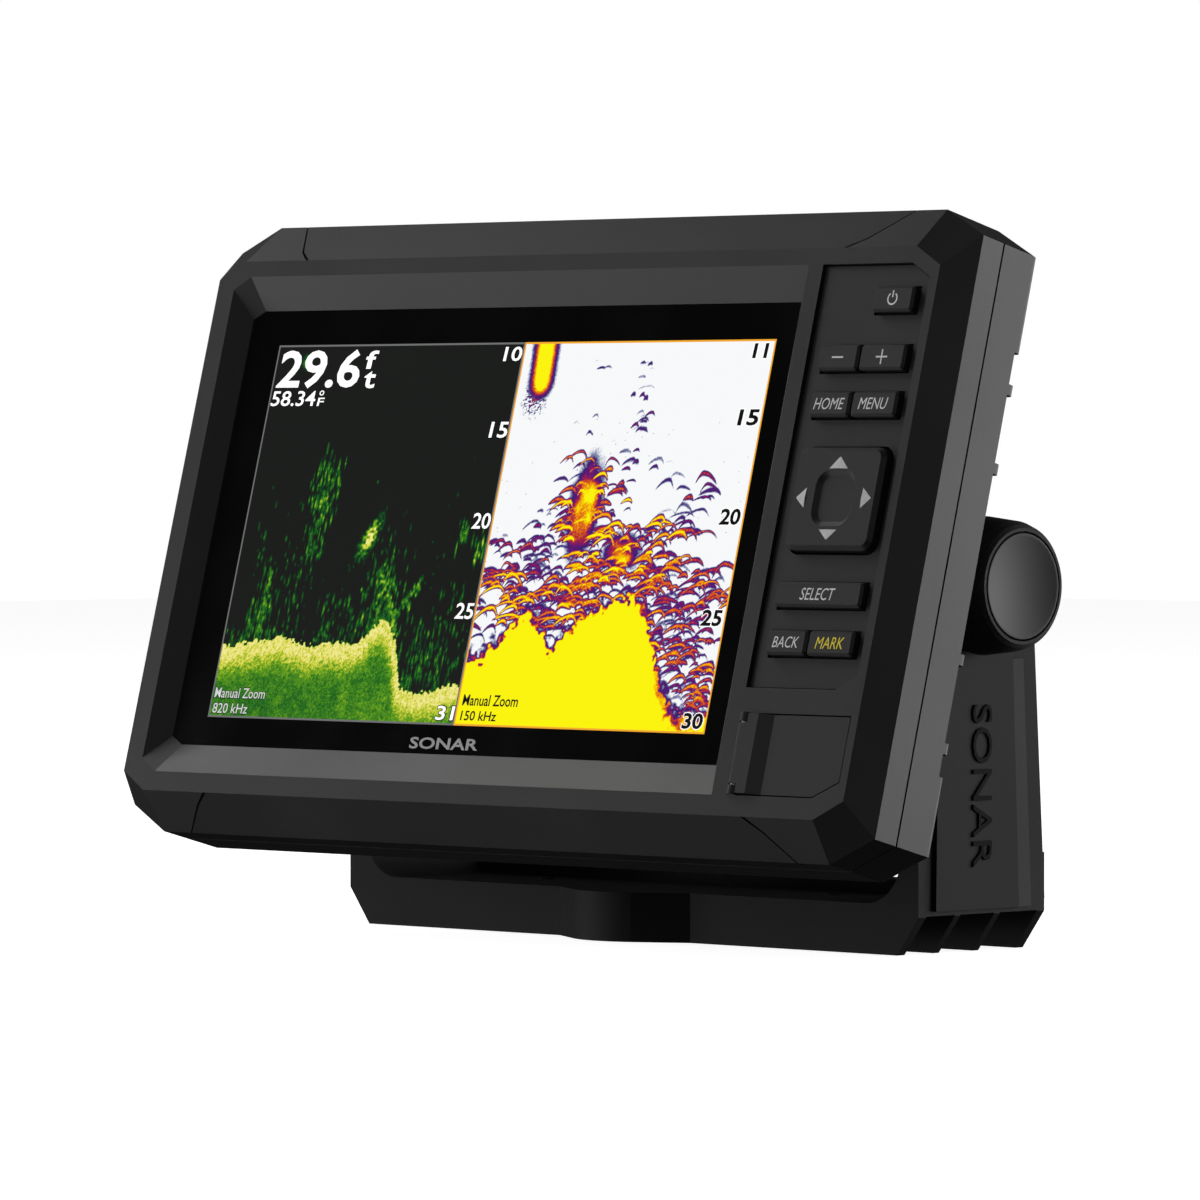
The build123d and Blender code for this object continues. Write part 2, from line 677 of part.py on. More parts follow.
with BuildPart() as door_lugs:
    for start in (DOOR_AREA[3], DOOR_AREA[2] + LUG_L):
        with BuildSketch(below(start)):
            with Locations((HINGE_X, HINGE_H)):
                Circle(KNUCKLE_R)
            area(HINGE_X - KNUCKLE_R, HINGE_X + KNUCKLE_R, KEY_LEDGE_H - 0.2, HINGE_H)
        extrude(amount=LUG_L)
    with BuildSketch(below(DOOR_AREA[3] + 1)):
        with Locations((HINGE_X, HINGE_H)):
            Circle(PIN_R)
    extrude(amount=30, mode=Mode.SUBTRACT)

with front_bezel:
    add(door_lugs.part)

with BuildPart() as door_pin:
    with BuildSketch(below(DOOR_AREA[3])):
        with Locations((HINGE_X, HINGE_H)):
            Circle(PIN_R)
    extrude(amount=DOOR_AREA[3] - DOOR_AREA[2])

with BuildPart() as door_seal:
    with BuildSketch(head(DOOR_LOW_H - 1.6)):
        area(*SEAL, 1.5)
        offset(amount=-1.4, mode=Mode.SUBTRACT)
    extrude(amount=1.6)

with BuildPart() as card_socket:
    with BuildSketch(head(WELL_FLOOR_H - 5.4)):
        area(82.0, 104.0, -55.0, -39.8, 0.6)
    extrude(amount=4.0)
    with BuildSketch(head(WELL_FLOOR_H - 4.6)):
        with Locations(*[(x, CARD_V) for x in CARD_X]):
            Rectangle(SLOT_T, SLOT_W)
    extrude(amount=4.0, mode=Mode.SUBTRACT)

# ---- cradle -------------------------------------------------------------------------------
PLATE_H = -38.4
PLATE_T = 4.0
BACK_H = PLATE_H - PLATE_T
PLATE = (-80.0, 80.0, -53.4, 53.4)
LIP_GAP = 0.4
LIP_DEPTH = 11.0
SOCKET = (-28.0, 28.0, -13.0, 13.0)
LATCH_HALF = 15.6
LATCH_PIN_V = 38.0
LATCH_PIN_H = PLATE_H - PLATE_T / 2
LATCH_PIN_R = 1.0
COVER = (-58.0, 58.0, -32.0, 32.0)
COVER_H = -56.0
COVER_WALL = 2.0
COVER_SCREWS = [(x, v) for x in (-51.0, 51.0) for v in (-25.0, 25.0)]
POWER_PLACE, POWER_R, POWER_BORE = (28.0, 0.0), 8.9, 6.2
SONAR_PLACE, SONAR_R, SONAR_BORE = (-26.0, 0.0), 10.9, 8.2
INLET_OUT_H = -62.0
INLET_FLOOR_H = -52.0
INSERT_R = 5.2
STUD_CLEARANCE = 0.05

with BuildPart() as cradle_frame:
    with BuildSketch(head(BACK_H)):
        area(*PLATE, 6.0)
    extrude(amount=PLATE_T)
    # lips under and over the head's box
    with BuildSketch(head(BACK_H)):
        area(-62, 62, PLATE[2], BOX[2] - LIP_GAP, 1.0)
        for low, high in ((-62, -24), (24, 62)):
            area(low, high, BOX[3] + LIP_GAP, PLATE[3], 1.0)
    extrude(amount=PLATE_T + LIP_DEPTH)
    # ears round the tilt axis
    for start in (EAR_IN, -EAR_OUT):
        with BuildSketch(side(start)):
            with Locations((TILT_V, TILT_H)):
                Circle(EAR_R)
            area(-17, 20, BACK_H, BACK_H + 2)
            make_hull()
            area(-20, 24, PLATE_H, PLATE_H + 10, mode=Mode.SUBTRACT)
        extrude(amount=EAR_OUT - EAR_IN)
    with BuildSketch(side(-EAR_OUT - 1)):
        with Locations((TILT_V, TILT_H)):
            Circle(INSERT_R)
    extrude(amount=2 * EAR_OUT + 2, mode=Mode.SUBTRACT)
    # openings for the socket and the latch, and holes for the pin and the cover's screws
    with BuildSketch(head(BACK_H)):
        area(*SOCKET, 2.0)
        area(-LATCH_HALF - 0.5, LATCH_HALF + 0.5, 33.0, 60.0)
    extrude(amount=20, mode=Mode.SUBTRACT)
    with BuildSketch(side(-20)):
        with Locations((LATCH_PIN_V, LATCH_PIN_H)):
            Circle(LATCH_PIN_R)
    extrude(amount=40, mode=Mode.SUBTRACT)
    with BuildSketch(head(BACK_H)):
        with Locations(*COVER_SCREWS):
            Circle(SCREW_HOLE_R)
    extrude(amount=3, mode=Mode.SUBTRACT)

with BuildPart() as pivot_inserts:
    for start in (EAR_IN, -EAR_OUT):
        with BuildSketch(side(start)):
            with Locations((TILT_V, TILT_H)):
                Circle(INSERT_R)
                Circle(STUD_R + STUD_CLEARANCE, mode=Mode.SUBTRACT)
        extrude(amount=EAR_OUT - EAR_IN)

with BuildPart() as cradle_socket:
    with BuildSketch(head(BACK_H)):
        area(*SOCKET, 2.0)
    extrude(amount=PLATE_T)
    with BuildSketch(head(PLATE_H)):
        area(-19.4, 19.4, -5.9, 5.9, 1.0)
    extrude(amount=4.4)
    chamfer(cradle_socket.faces().sort_by(OUTWARD).last.edges(), length=0.6)

with BuildPart() as cradle_back_cover:
    with BuildSketch(head(COVER_H)):
        area(*COVER, 6.0)
    extrude(amount=BACK_H - COVER_H)
    chamfer(cradle_back_cover.faces().sort_by(OUTWARD).first.edges(), length=3.0)
    with BuildSketch(head(COVER_H + COVER_WALL)):
        area(COVER[0] + 3.2, COVER[1] - 3.2, COVER[2] + 3.2, COVER[3] - 3.2, 3.0)
    extrude(amount=20, mode=Mode.SUBTRACT)
    with BuildSketch(head(COVER_H + COVER_WALL)):
        with Locations(*COVER_SCREWS):
            Circle(4.6)
    extrude(amount=BACK_H - COVER_H - COVER_WALL)
    with BuildSketch(head(COVER_H)):
        with Locations(*COVER_SCREWS):
            Circle(3.1)
        with Locations(POWER_PLACE):
            Circle(POWER_R)
        with Locations(SONAR_PLACE):
            Circle(SONAR_R)
    extrude(amount=2.6, mode=Mode.SUBTRACT)
    with BuildSketch(head(COVER_H)):
        with Locations(*COVER_SCREWS):
            Circle(SCREW_HOLE_R + 0.1)
    extrude(amount=15, mode=Mode.SUBTRACT)

with BuildPart() as cradle_cover_screws:
    with BuildSketch(head(COVER_H + 0.8)):
        with Locations(*COVER_SCREWS):
            Circle(2.8)
    extrude(amount=1.8)
    with BuildSketch(head(COVER_H + 2.6)):
        with Locations(*COVER_SCREWS):
            Circle(SCREW_HOLE_R - 0.05)
    extrude(amount=13.4)


def inlet(place, outer, bore):
    """A round socket in the cradle's back cover: a collar, a flange inside and an open bore."""
    with BuildPart() as piece:
        with BuildSketch(head(INLET_OUT_H)):
            with Locations(place):
                Circle(outer)
        extrude(amount=INLET_FLOOR_H + 2 - INLET_OUT_H)
        with BuildSketch(head(COVER_H + COVER_WALL)):
            with Locations(place):
                Circle(outer + 2)
        extrude(amount=2)
        with BuildSketch(head(INLET_OUT_H)):
            with Locations(place):
                Circle(bore)
        extrude(amount=INLET_FLOOR_H - INLET_OUT_H, mode=Mode.SUBTRACT)
        chamfer(piece.faces().sort_by(OUTWARD).first.edges(), length=0.5)
    return piece


power_inlet = inlet(POWER_PLACE, POWER_R, POWER_BORE)
transducer_inlet = inlet(SONAR_PLACE, SONAR_R, SONAR_BORE)

with BuildPart() as inlet_pins:
    with BuildSketch(head(INLET_FLOOR_H - 4.5)):
        with Locations(POWER_PLACE):
            with PolarLocations(3.2, 4, start_angle=45):
                Circle(0.7)
        with Locations(SONAR_PLACE):
            with PolarLocations(5.0, 8):
                Circle(0.6)
    extrude(amount=4.5)

with BuildPart() as release_latch:
    with BuildSketch(side(-LATCH_HALF)):
        area(35.6, 60.0, BACK_H + 0.3, PLATE_H - 0.3)
        area(BOX[3] + LIP_GAP, 53.0, PLATE_H - 1, PLATE_H + 6)
        area(57.0, 60.0, BACK_H - 5.5, PLATE_H - 0.3)
    extrude(amount=2 * LATCH_HALF)
    with BuildSketch(side(-LATCH_HALF - 1)):
        with Locations((LATCH_PIN_V, LATCH_PIN_H)):
            Circle(LATCH_PIN_R + 0.08)
    extrude(amount=2 * LATCH_HALF + 2, mode=Mode.SUBTRACT)
    with BuildSketch(head(BACK_H)):
        area(-4.2, 4.2, 34.0, 41.0)
    extrude(amount=PLATE_T, mode=Mode.SUBTRACT)
    fillet(release_latch.edges().filter_by(Axis.X).sort_by(OUTWARD)[:2], radius=1.2)

with BuildPart() as latch_pin:
    with BuildSketch(side(-20)):
        with Locations((LATCH_PIN_V, LATCH_PIN_H)):
            Circle(LATCH_PIN_R)
    extrude(amount=40)

with BuildPart() as latch_spring:
    with BuildSketch(side(-3.6)):
        with Locations((LATCH_PIN_V, LATCH_PIN_H)):
            Circle(LATCH_PIN_R + 0.75)
            Circle(LATCH_PIN_R, mode=Mode.SUBTRACT)
    extrude(amount=7.2)

# ---- bail bracket -------------------------------------------------------------------------
FILLET = 10.0
BULGE = [(-20.0, 0.0), (-8.5, -6.7), (8.5, -6.7), (20.0, 0.0)]
BULGE_OUT = -8.6
WALL_Y = 2.4
RIBS_Y = (-7.7, 4.8)
RIB_T = 1.8
PANEL_Z = (9.4, 62.5)                        # raised panel on each arm: low and high ends
PANEL_Y = (-15.3, -14.0)
SLOPE_Y = (11.0, 8.4)
SLOPE_W = 4.8
PANEL_HEAD_R = 11.3

with BuildPart() as bail_bracket:
    # base, with a concave run up to each arm and its lower corners cut away
    with BuildSketch(Plane.XZ.offset(-BASE_HALF_Y)):
        with BuildLine():
            Polyline((0, 0), (BASE_FOOT_X, 0), (ARM_OUT, 8.2), (ARM_OUT, BASE_TOP + FILLET),
                     (ARM_IN, BASE_TOP + FILLET))
            RadiusArc((ARM_IN, BASE_TOP + FILLET), (ARM_IN - FILLET, BASE_TOP), FILLET)
            Polyline((ARM_IN - FILLET, BASE_TOP), (0, BASE_TOP), (0, 0))
        make_face()
    extrude(amount=2 * BASE_HALF_Y)
    mirror(about=Plane.YZ)
    # rounded bulge in the middle of the front
    with BuildSketch():
        with BuildLine():
            Polyline((BULGE[0][0], -BASE_HALF_Y), (BULGE[1][0], BULGE[1][1] - BASE_HALF_Y))
            ThreePointArc((BULGE[1][0], BULGE[1][1] - BASE_HALF_Y), (0, BULGE_OUT - BASE_HALF_Y),
                          (BULGE[2][0], BULGE[2][1] - BASE_HALF_Y))
            Polyline((BULGE[2][0], BULGE[2][1] - BASE_HALF_Y), (BULGE[3][0], -BASE_HALF_Y),
                     (BULGE[3][0], -BASE_HALF_Y + 3), (BULGE[0][0], -BASE_HALF_Y + 3),
                     (BULGE[0][0], -BASE_HALF_Y))
        make_face()
    extrude(amount=BASE_TOP)
    # low ridge along the base's rear edge, with a slope up to it
    with BuildSketch(Plane.YZ.offset(-ARM_IN)):
        Polygon((RIDGE_FOOT_Y, BASE_TOP - 1), (BASE_HALF_Y, BASE_TOP - 1), (BASE_HALF_Y, RIDGE_TOP),
                (RIDGE_Y, RIDGE_TOP), (RIDGE_FOOT_Y, BASE_TOP), align=None)
    extrude(amount=2 * ARM_IN)
    # arms
    for start, out in ((ARM_IN, 1), (-ARM_IN, -1)):
        with BuildSketch(Plane.YZ.offset(start)):
            with Locations((TILT_Y, TILT_Z)):
                Circle(ARM_HEAD_R)
            Polygon((-BASE_HALF_Y, BASE_TOP), (BASE_HALF_Y + 0.1, BASE_TOP), (16.8, 66.0),
                    (-18.0, 50.0), align=None)
            make_hull()
        extrude(amount=out * (ARM_OUT - ARM_IN))
        # raised panel on the arm's outer side, with a slope down along its rear edge
        with BuildSketch(Plane.YZ.offset(out * ARM_OUT)):
            with Locations((TILT_Y, TILT_Z)):
                Circle(PANEL_HEAD_R)
            Polygon((PANEL_Y[0], PANEL_Z[0]), (SLOPE_Y[0], PANEL_Z[0]), (SLOPE_Y[1], PANEL_Z[1]),
                    (PANEL_Y[1], PANEL_Z[1]), align=None)
            make_hull()
        extrude(amount=out * (PANEL_OUT - ARM_OUT))
        for z, y in zip(PANEL_Z, SLOPE_Y):
            with BuildSketch(Plane.XY.offset(z)):
                Polygon((out * (ARM_OUT - 0.5), y - 0.5), (out * PANEL_OUT, y - 0.5),
                        (out * PANEL_OUT, y), (out * ARM_OUT, y + SLOPE_W),
                        (out * (ARM_OUT - 0.5), y + SLOPE_W), align=None)
        loft(ruled=True)
    # three channels along the underside, open at both ends, and a hollow in the bulge
    walls = [-BASE_HALF_Y + WALL_Y]
    for y in RIBS_Y:
        walls += [y - RIB_T / 2, y + RIB_T / 2]
    walls += [BASE_HALF_Y - WALL_Y]
    with BuildSketch():
        for low, high in zip(walls[::2], walls[1::2]):
            area(-ARM_OUT - 1, ARM_OUT + 1, low, high)
        Polygon((-15, -BASE_HALF_Y), (-8, -BASE_HALF_Y - 4.3), (8, -BASE_HALF_Y - 4.3),
                (15, -BASE_HALF_Y), align=None)
    extrude(amount=CHANNEL_TOP, mode=Mode.SUBTRACT)
    # bosses and holes for the two mounting screws
    with BuildSketch():
        with Locations((-SCREW_X, 0), (SCREW_X, 0)):
            Circle(5.2)
    extrude(amount=CHANNEL_TOP)
    with BuildSketch():
        with Locations((-SCREW_X, 0), (SCREW_X, 0)):
            Circle(SCREW_R)
    extrude(amount=BASE_TOP + 1, mode=Mode.SUBTRACT)
    # pivot holes
    with BuildSketch(Plane.YZ.offset(-PANEL_OUT - 1)):
        with Locations((TILT_Y, TILT_Z)):
            Circle(STUD_R + 0.5)
    extrude(amount=2 * PANEL_OUT + 2, mode=Mode.SUBTRACT)

with BuildPart() as pivot_washers:
    for start in (EAR_OUT + 0.2, -ARM_IN):
        with BuildSketch(Plane.YZ.offset(start)):
            with Locations((TILT_Y, TILT_Z)):
                Circle(11.0)
                Circle(STUD_R + 0.5, mode=Mode.SUBTRACT)
        extrude(amount=ARM_IN - EAR_OUT - 0.2)

# ---- clamping knobs -----------------------------------------------------------------------
KNOB_IN = PANEL_OUT + 0.4
STUD_HEAD_R = 5.5
STUD_HEAD_X = (95.0, 98.5)
CAP_R = 11.4
CAP_X = 100.2
KNOB_PLANE = Plane(origin=(0, TILT_Y, TILT_Z), x_dir=(1, 0, 0), z_dir=(0, -1, 0))

with BuildPart() as knob_grip:
    with BuildSketch(KNOB_PLANE):
        Polygon((KNOB_IN, STUD_R), (KNOB_IN, 13.4), (KNOB_IN + 0.9, 14.5), (KNOB_IN + 2.2, 14.8),
                (98.6, 13.9), (100.7, 13.1), (KNOB_OUT, 12.3), (KNOB_OUT, CAP_R + 0.25),
                (CAP_X, CAP_R + 0.25), (CAP_X, STUD_HEAD_R), (STUD_HEAD_X[0], STUD_HEAD_R),
                (STUD_HEAD_X[0], STUD_R), align=None)
    revolve(axis=TILT_AXIS)

with BuildPart() as knob_stud:
    with BuildSketch(Plane.YZ.offset(70)):
        with Locations((TILT_Y, TILT_Z)):
            Circle(STUD_R)
    extrude(amount=STUD_HEAD_X[0] - 70)
    with BuildSketch(Plane.YZ.offset(STUD_HEAD_X[0])):
        with Locations((TILT_Y, TILT_Z)):
            Circle(STUD_HEAD_R)
    extrude(amount=STUD_HEAD_X[1] - STUD_HEAD_X[0])
    chamfer(knob_stud.faces().sort_by(Axis.X).first.edges(), length=0.6)

with BuildPart() as knob_cap:
    with BuildSketch(Plane.YZ.offset(CAP_X)):
        with Locations((TILT_Y, TILT_Z)):
            Circle(CAP_R)
    extrude(amount=KNOB_OUT - CAP_X)
    chamfer(knob_cap.faces().sort_by(Axis.X).last.edges(), length=0.4)

# ---- export -------------------------------------------------------------------------------
pieces = {
    "front_bezel": front_bezel, "rear_case": rear_case, "case_gasket": case_gasket,
    "case_screws": case_screws, "vent_plug": vent_plug,
    "top_trim": top_trim, "bottom_trim": bottom_trim,
    "cover_glass": cover_glass, "lcd_panel": lcd_panel, "backlight": backlight,
    "display_frame": display_frame, "display_screws": display_screws,
    "main_board": main_board, "main_chips": main_chips, "shield_can": shield_can,
    "gps_antenna": gps_antenna, "buzzer": buzzer, "board_screws": board_screws,
    "sonar_board": sonar_board, "sonar_chips": sonar_chips, "heat_spreader": heat_spreader,
    "rear_connector": rear_connector, "card_socket": card_socket,
    "keypad_panel": keypad_panel, "keypad_mat": keypad_mat, "keypad_board": keypad_board,
    "key_domes": key_domes, "dpad_actuator": dpad_actuator, "dpad_key": dpad_key,
    "card_door": card_door, "door_seal": door_seal, "door_pin": door_pin,
    "cradle_frame": cradle_frame, "pivot_inserts": pivot_inserts, "cradle_socket": cradle_socket,
    "cradle_back_cover": cradle_back_cover, "cradle_cover_screws": cradle_cover_screws,
    "power_inlet": power_inlet, "transducer_inlet": transducer_inlet, "inlet_pins": inlet_pins,
    "release_latch": release_latch, "latch_pin": latch_pin, "latch_spring": latch_spring,
    "bail_bracket": bail_bracket, "pivot_washers": pivot_washers,
}
pieces.update(keys)

# the right knob is drawn above, and the left one is its mirror image
for label, right_piece in (("grip", knob_grip), ("stud", knob_stud), ("cap", knob_cap)):
    with BuildPart() as left_piece:
        add(mirror(right_piece.part, about=Plane.YZ))
    pieces["right_knob_" + label] = right_piece
    pieces["left_knob_" + label] = left_piece

os.makedirs("parts", exist_ok=True)
for name, piece in pieces.items():
    piece.part.label = name
    export_step(piece.part, f"parts/{name}.step")
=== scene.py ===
"""The looks of a small boat's sonar display: its finishes, lit picture, key legends and studio."""
import json
import math

import bmesh
import bpy
import numpy as np
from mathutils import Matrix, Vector


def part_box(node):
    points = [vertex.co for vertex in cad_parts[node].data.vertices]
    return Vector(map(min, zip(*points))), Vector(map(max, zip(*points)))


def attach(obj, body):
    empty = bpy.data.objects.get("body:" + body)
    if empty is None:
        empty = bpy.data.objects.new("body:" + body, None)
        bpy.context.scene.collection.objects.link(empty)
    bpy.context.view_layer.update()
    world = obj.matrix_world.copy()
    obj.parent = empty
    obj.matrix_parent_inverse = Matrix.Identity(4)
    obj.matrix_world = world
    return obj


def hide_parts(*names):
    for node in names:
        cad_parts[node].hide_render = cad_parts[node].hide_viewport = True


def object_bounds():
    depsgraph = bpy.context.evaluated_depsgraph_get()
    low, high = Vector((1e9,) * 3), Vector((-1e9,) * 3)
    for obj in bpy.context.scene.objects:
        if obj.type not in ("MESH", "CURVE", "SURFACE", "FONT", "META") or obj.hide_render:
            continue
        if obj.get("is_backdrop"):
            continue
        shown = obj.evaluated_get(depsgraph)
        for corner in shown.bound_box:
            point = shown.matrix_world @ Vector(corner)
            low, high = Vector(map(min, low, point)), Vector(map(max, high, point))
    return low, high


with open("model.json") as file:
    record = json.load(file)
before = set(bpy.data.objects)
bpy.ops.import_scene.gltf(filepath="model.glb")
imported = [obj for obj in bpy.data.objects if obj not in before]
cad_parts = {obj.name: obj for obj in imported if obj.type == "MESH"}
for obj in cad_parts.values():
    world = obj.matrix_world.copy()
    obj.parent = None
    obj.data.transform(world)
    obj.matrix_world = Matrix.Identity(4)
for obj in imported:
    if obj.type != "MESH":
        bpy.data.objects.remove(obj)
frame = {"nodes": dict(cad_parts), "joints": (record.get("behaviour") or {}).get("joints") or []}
cad_low, cad_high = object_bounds()
nodes = frame["nodes"]
scene = bpy.context.scene
MM = 0.001

# ---- the head's own directions, from the way its keys travel ------------------------------

ACROSS = np.array((1.0, 0.0, 0.0))
OUT = -np.array(next(j for j in frame["joints"] if j["name"] == "power_press")["axis"])
UP = np.cross(OUT, ACROSS)
GLASS_FOOT = -49.5 * MM      # the glass's lower edge, below the middle of the lit picture


def corners(node):
    """A CAD node's points."""
    mesh = nodes[node].data
    points = np.empty(len(mesh.vertices) * 3)
    mesh.vertices.foreach_get("co", points)
    return points.reshape(-1, 3)


def span(node):
    """Lowest and highest across, up and out of a node, measured along the head's directions."""
    along = corners(node) @ np.array((ACROSS, UP, OUT)).T
    return along.min(0), along.max(0)


glass_low, glass_high = span("cover_glass")
MIDDLE_UP = glass_low[1] - GLASS_FOOT
FRONT = glass_high[2]


def on_face(x, v, h):
    """Points x across, v up the face from the picture's middle and h out of the glass's front."""
    x, v, h = np.broadcast_arrays(x, v, h)
    return x[..., None] * ACROSS + (v + MIDDLE_UP)[..., None] * UP + (h + FRONT)[..., None] * OUT


def key_top(node):
    """Middle across, middle up and front of a key, in on_face's measures."""
    low, high = span(node)
    return (low[0] + high[0]) / 2, (low[1] + high[1]) / 2 - MIDDLE_UP, high[2] - FRONT


# ---- making finishes ----------------------------------------------------------------------

class Value:
    """A socket in arithmetic: each operator adds the Math node that works it out."""

    def __init__(self, finish, socket):
        self.finish, self.socket = finish, socket

    def math(self, operation, *others):
        node = self.finish.add("ShaderNodeMath", {"operation": operation},
                               dict(enumerate((self, *others))))
        return Value(self.finish, node.outputs[0])

    def __add__(self, other):
        return self.math("ADD", other)

    def __sub__(self, other):
        return self.math("SUBTRACT", other)

    def __mul__(self, other):
        return self.math("MULTIPLY", other)

    def __rsub__(self, other):
        return (self * -1.0) + other

    __radd__ = __add__
    __rmul__ = __mul__

    def lowest(self, other):
        return self.math("MINIMUM", other)

    def over(self, level):
        return self.math("GREATER_THAN", level)

    def step(self, low, high):
        """0 under low and 1 over high, smooth between."""
        node = self.finish.add("ShaderNodeMapRange", {"interpolation_type": "SMOOTHSTEP"},
                               {"Value": self, "From Min": low, "From Max": high})
        return Value(self.finish, node.outputs["Result"])


class Finish:
    """A material in the making: a Principled shader, and the nodes that feed it."""

    def __init__(self, name, **constants):
        self.material = bpy.data.materials.new(name)
        self.material.use_nodes = True
        self.tree = self.material.node_tree
        self.shader = self.tree.nodes["Principled BSDF"]
        for socket, value in constants.items():
            self.plug(value, self.shader.inputs[socket.replace("_", " ")])
        self.place = self.add("ShaderNodeTexCoord").outputs["Object"]

    def plug(self, value, socket):
        if isinstance(value, Value):
            value = value.socket
        if isinstance(value, bpy.types.NodeSocket):
            self.tree.links.new(value, socket)
        else:
            socket.default_value = value

    def add(self, kind, settings=None, sockets=None):
        """Any node: its settings first, a ramp's stops among them, and then its sockets."""
        node = self.tree.nodes.new(kind)
        for setting, value in (settings or {}).items():
            if setting == "stops":
                ramp = node.color_ramp.elements
                while len(ramp) < len(value):
                    ramp.new(0.5)
                for element, (position, colour) in zip(ramp, value):
                    element.position = position
                for element, (position, colour) in zip(ramp, value):
                    element.color = (*colour, 1.0)
            else:
                setattr(node, setting, value)
        for socket, value in (sockets or {}).items():
            self.plug(value, node.inputs[socket])
        return node

    def noise(self, scale, detail=2.0, place=None):
        node = self.add("ShaderNodeTexNoise", None,
                        {"Vector": place or self.place, "Scale": scale, "Detail": detail})
        return Value(self, node.outputs["Fac"])

    def cells(self, scale, feature="F1", place=None):
        node = self.add("ShaderNodeTexVoronoi", {"feature": feature},
                        {"Vector": place or self.place, "Scale": scale})
        return Value(self, node.outputs["Distance"])

    def stretched(self, factors):
        """The place, with each direction scaled by its own factor."""
        return self.add("ShaderNodeMapping", None, {"Vector": self.place, "Scale": factors}).outputs[0]

    def blend(self, share, first, second):
        """From the first colour to the second as the share goes from 0 to 1."""
        node = self.add("ShaderNodeMix", {"data_type": "RGBA"})
        self.plug(share, node.inputs[0])
        for colour, socket in ((first, node.inputs[6]), (second, node.inputs[7])):
            self.plug((*colour, 1.0) if isinstance(colour, tuple) else colour, socket)
        return node.outputs[2]

    def ramp(self, value, stops):
        return self.add("ShaderNodeValToRGB", {"stops": stops}, {"Fac": value}).outputs["Color"]

    def bump(self, height, distance, strength=1.0):
        node = self.add("ShaderNodeBump", None,
                        {"Height": height, "Distance": distance, "Strength": strength})
        self.plug(node.outputs["Normal"], self.shader.inputs["Normal"])

    def set(self, **sockets):
        for socket, value in sockets.items():
            self.plug(value, self.shader.inputs[socket.replace("_", " ")])


def tone(level, warm=0.0):
    """A grey, a little warmer or cooler."""
    return (level * (1 + warm), level, level * (1 - warm))


def moulded(name, level, roughness, grain_mm=0.35, depth_mm=0.012, mottle=0.12, shine=0.45):
    """Moulded plastic: spark-eroded grain, faint cloudy variation and a little rubbed dust."""
    finish = Finish(name, Specular_IOR_Level=shine)
    grain = finish.noise(1 / (grain_mm * MM), 3.0)
    cloud = finish.noise(28.0, 4.0)
    dust = finish.noise(160.0, 5.0).step(0.62, 0.9)
    body = finish.blend(cloud.step(0.3, 0.7), tone(level * (1 - mottle)), tone(level * (1 + mottle)))
    finish.set(Base_Color=finish.blend(dust * 0.10, body, tone(level * 2.5)),
               Roughness=cloud * 0.10 + grain * 0.12 + (roughness - 0.11))
    finish.bump(grain, depth_mm * MM)
    return finish.material


def rubber(name, level, speck_mm=0.5, depth_mm=0.05):
    """Moulded rubber: coarse pebbled skin that scatters light."""
    finish = Finish(name, Specular_IOR_Level=0.35)
    pebble = finish.cells(1 / (speck_mm * MM))
    cloud = finish.noise(60.0, 4.0)
    finish.set(Base_Color=finish.blend(pebble.step(0.1, 0.7), tone(level * 1.5), tone(level * 0.8)),
               Roughness=cloud * 0.2 + 0.6)
    finish.bump(pebble, depth_mm * MM)
    return finish.material


def metal(name, colour, roughness, brushed=(40.0, 900.0, 40.0)):
    """Plain metal with fine drawn lines and faint tarnish."""
    finish = Finish(name, Metallic=1.0)
    lines = finish.noise(6.0, 3.0, finish.stretched(brushed))
    tarnish = finish.noise(90.0, 5.0).step(0.45, 0.8)
    dull = tuple(c * 0.62 for c in colour)
    finish.set(Base_Color=finish.blend(tarnish * 0.5, colour, dull),
               Roughness=lines * 0.22 + (roughness - 0.11))
    finish.bump(lines, 0.004 * MM)
    return finish.material


def circuit_board(name):
    """Solder mask over copper tracks, with tinned pads."""
    finish = Finish(name, Coat_Roughness=0.2)
    tracks = finish.cells(420.0, "DISTANCE_TO_EDGE").step(0.03, 0.07)
    pads = finish.cells(260.0).step(0.16, 0.2)
    mask = finish.blend(tracks, (0.02, 0.13, 0.05), (0.008, 0.06, 0.025))
    finish.set(Base_Color=finish.blend(pads, (0.55, 0.53, 0.48), mask), Metallic=(1 - pads) * 0.8,
               Roughness=pads * 0.15 + 0.3)
    finish.bump(tracks, 0.02 * MM)
    return finish.material


def glass_finish(name):
    """Black glass: glossy, with a fine anti-glare etch and faint wiped smears."""
    finish = Finish(name, Specular_IOR_Level=0.5)
    smears = finish.noise(7.0, 4.0, finish.stretched((6.0, 14.0, 5.0)))
    etch = finish.noise(5200.0, 2.0)
    finish.set(Base_Color=finish.blend(smears, tone(0.004), tone(0.007)),
               Roughness=smears.step(0.35, 0.8) * 0.05 + 0.10)
    finish.bump(etch, 0.0006 * MM)
    return finish.material


def ink(name, colour, glow=0.0, roughness=0.5):
    """Printed or back-lit lettering with a slightly uneven edge-to-edge tone. Its glow is the back-light of
    the screen's letters; given to printed letters, it is painted glow.
    """
    finish = Finish(name, Emission_Strength=glow)
    wear = finish.noise(900.0, 4.0)
    shade = finish.blend(wear.step(0.2, 0.75), tuple(c * 0.86 for c in colour), colour)
    finish.set(Base_Color=shade, Emission_Color=shade, Roughness=wear * 0.15 + (roughness - 0.07))
    return finish.material


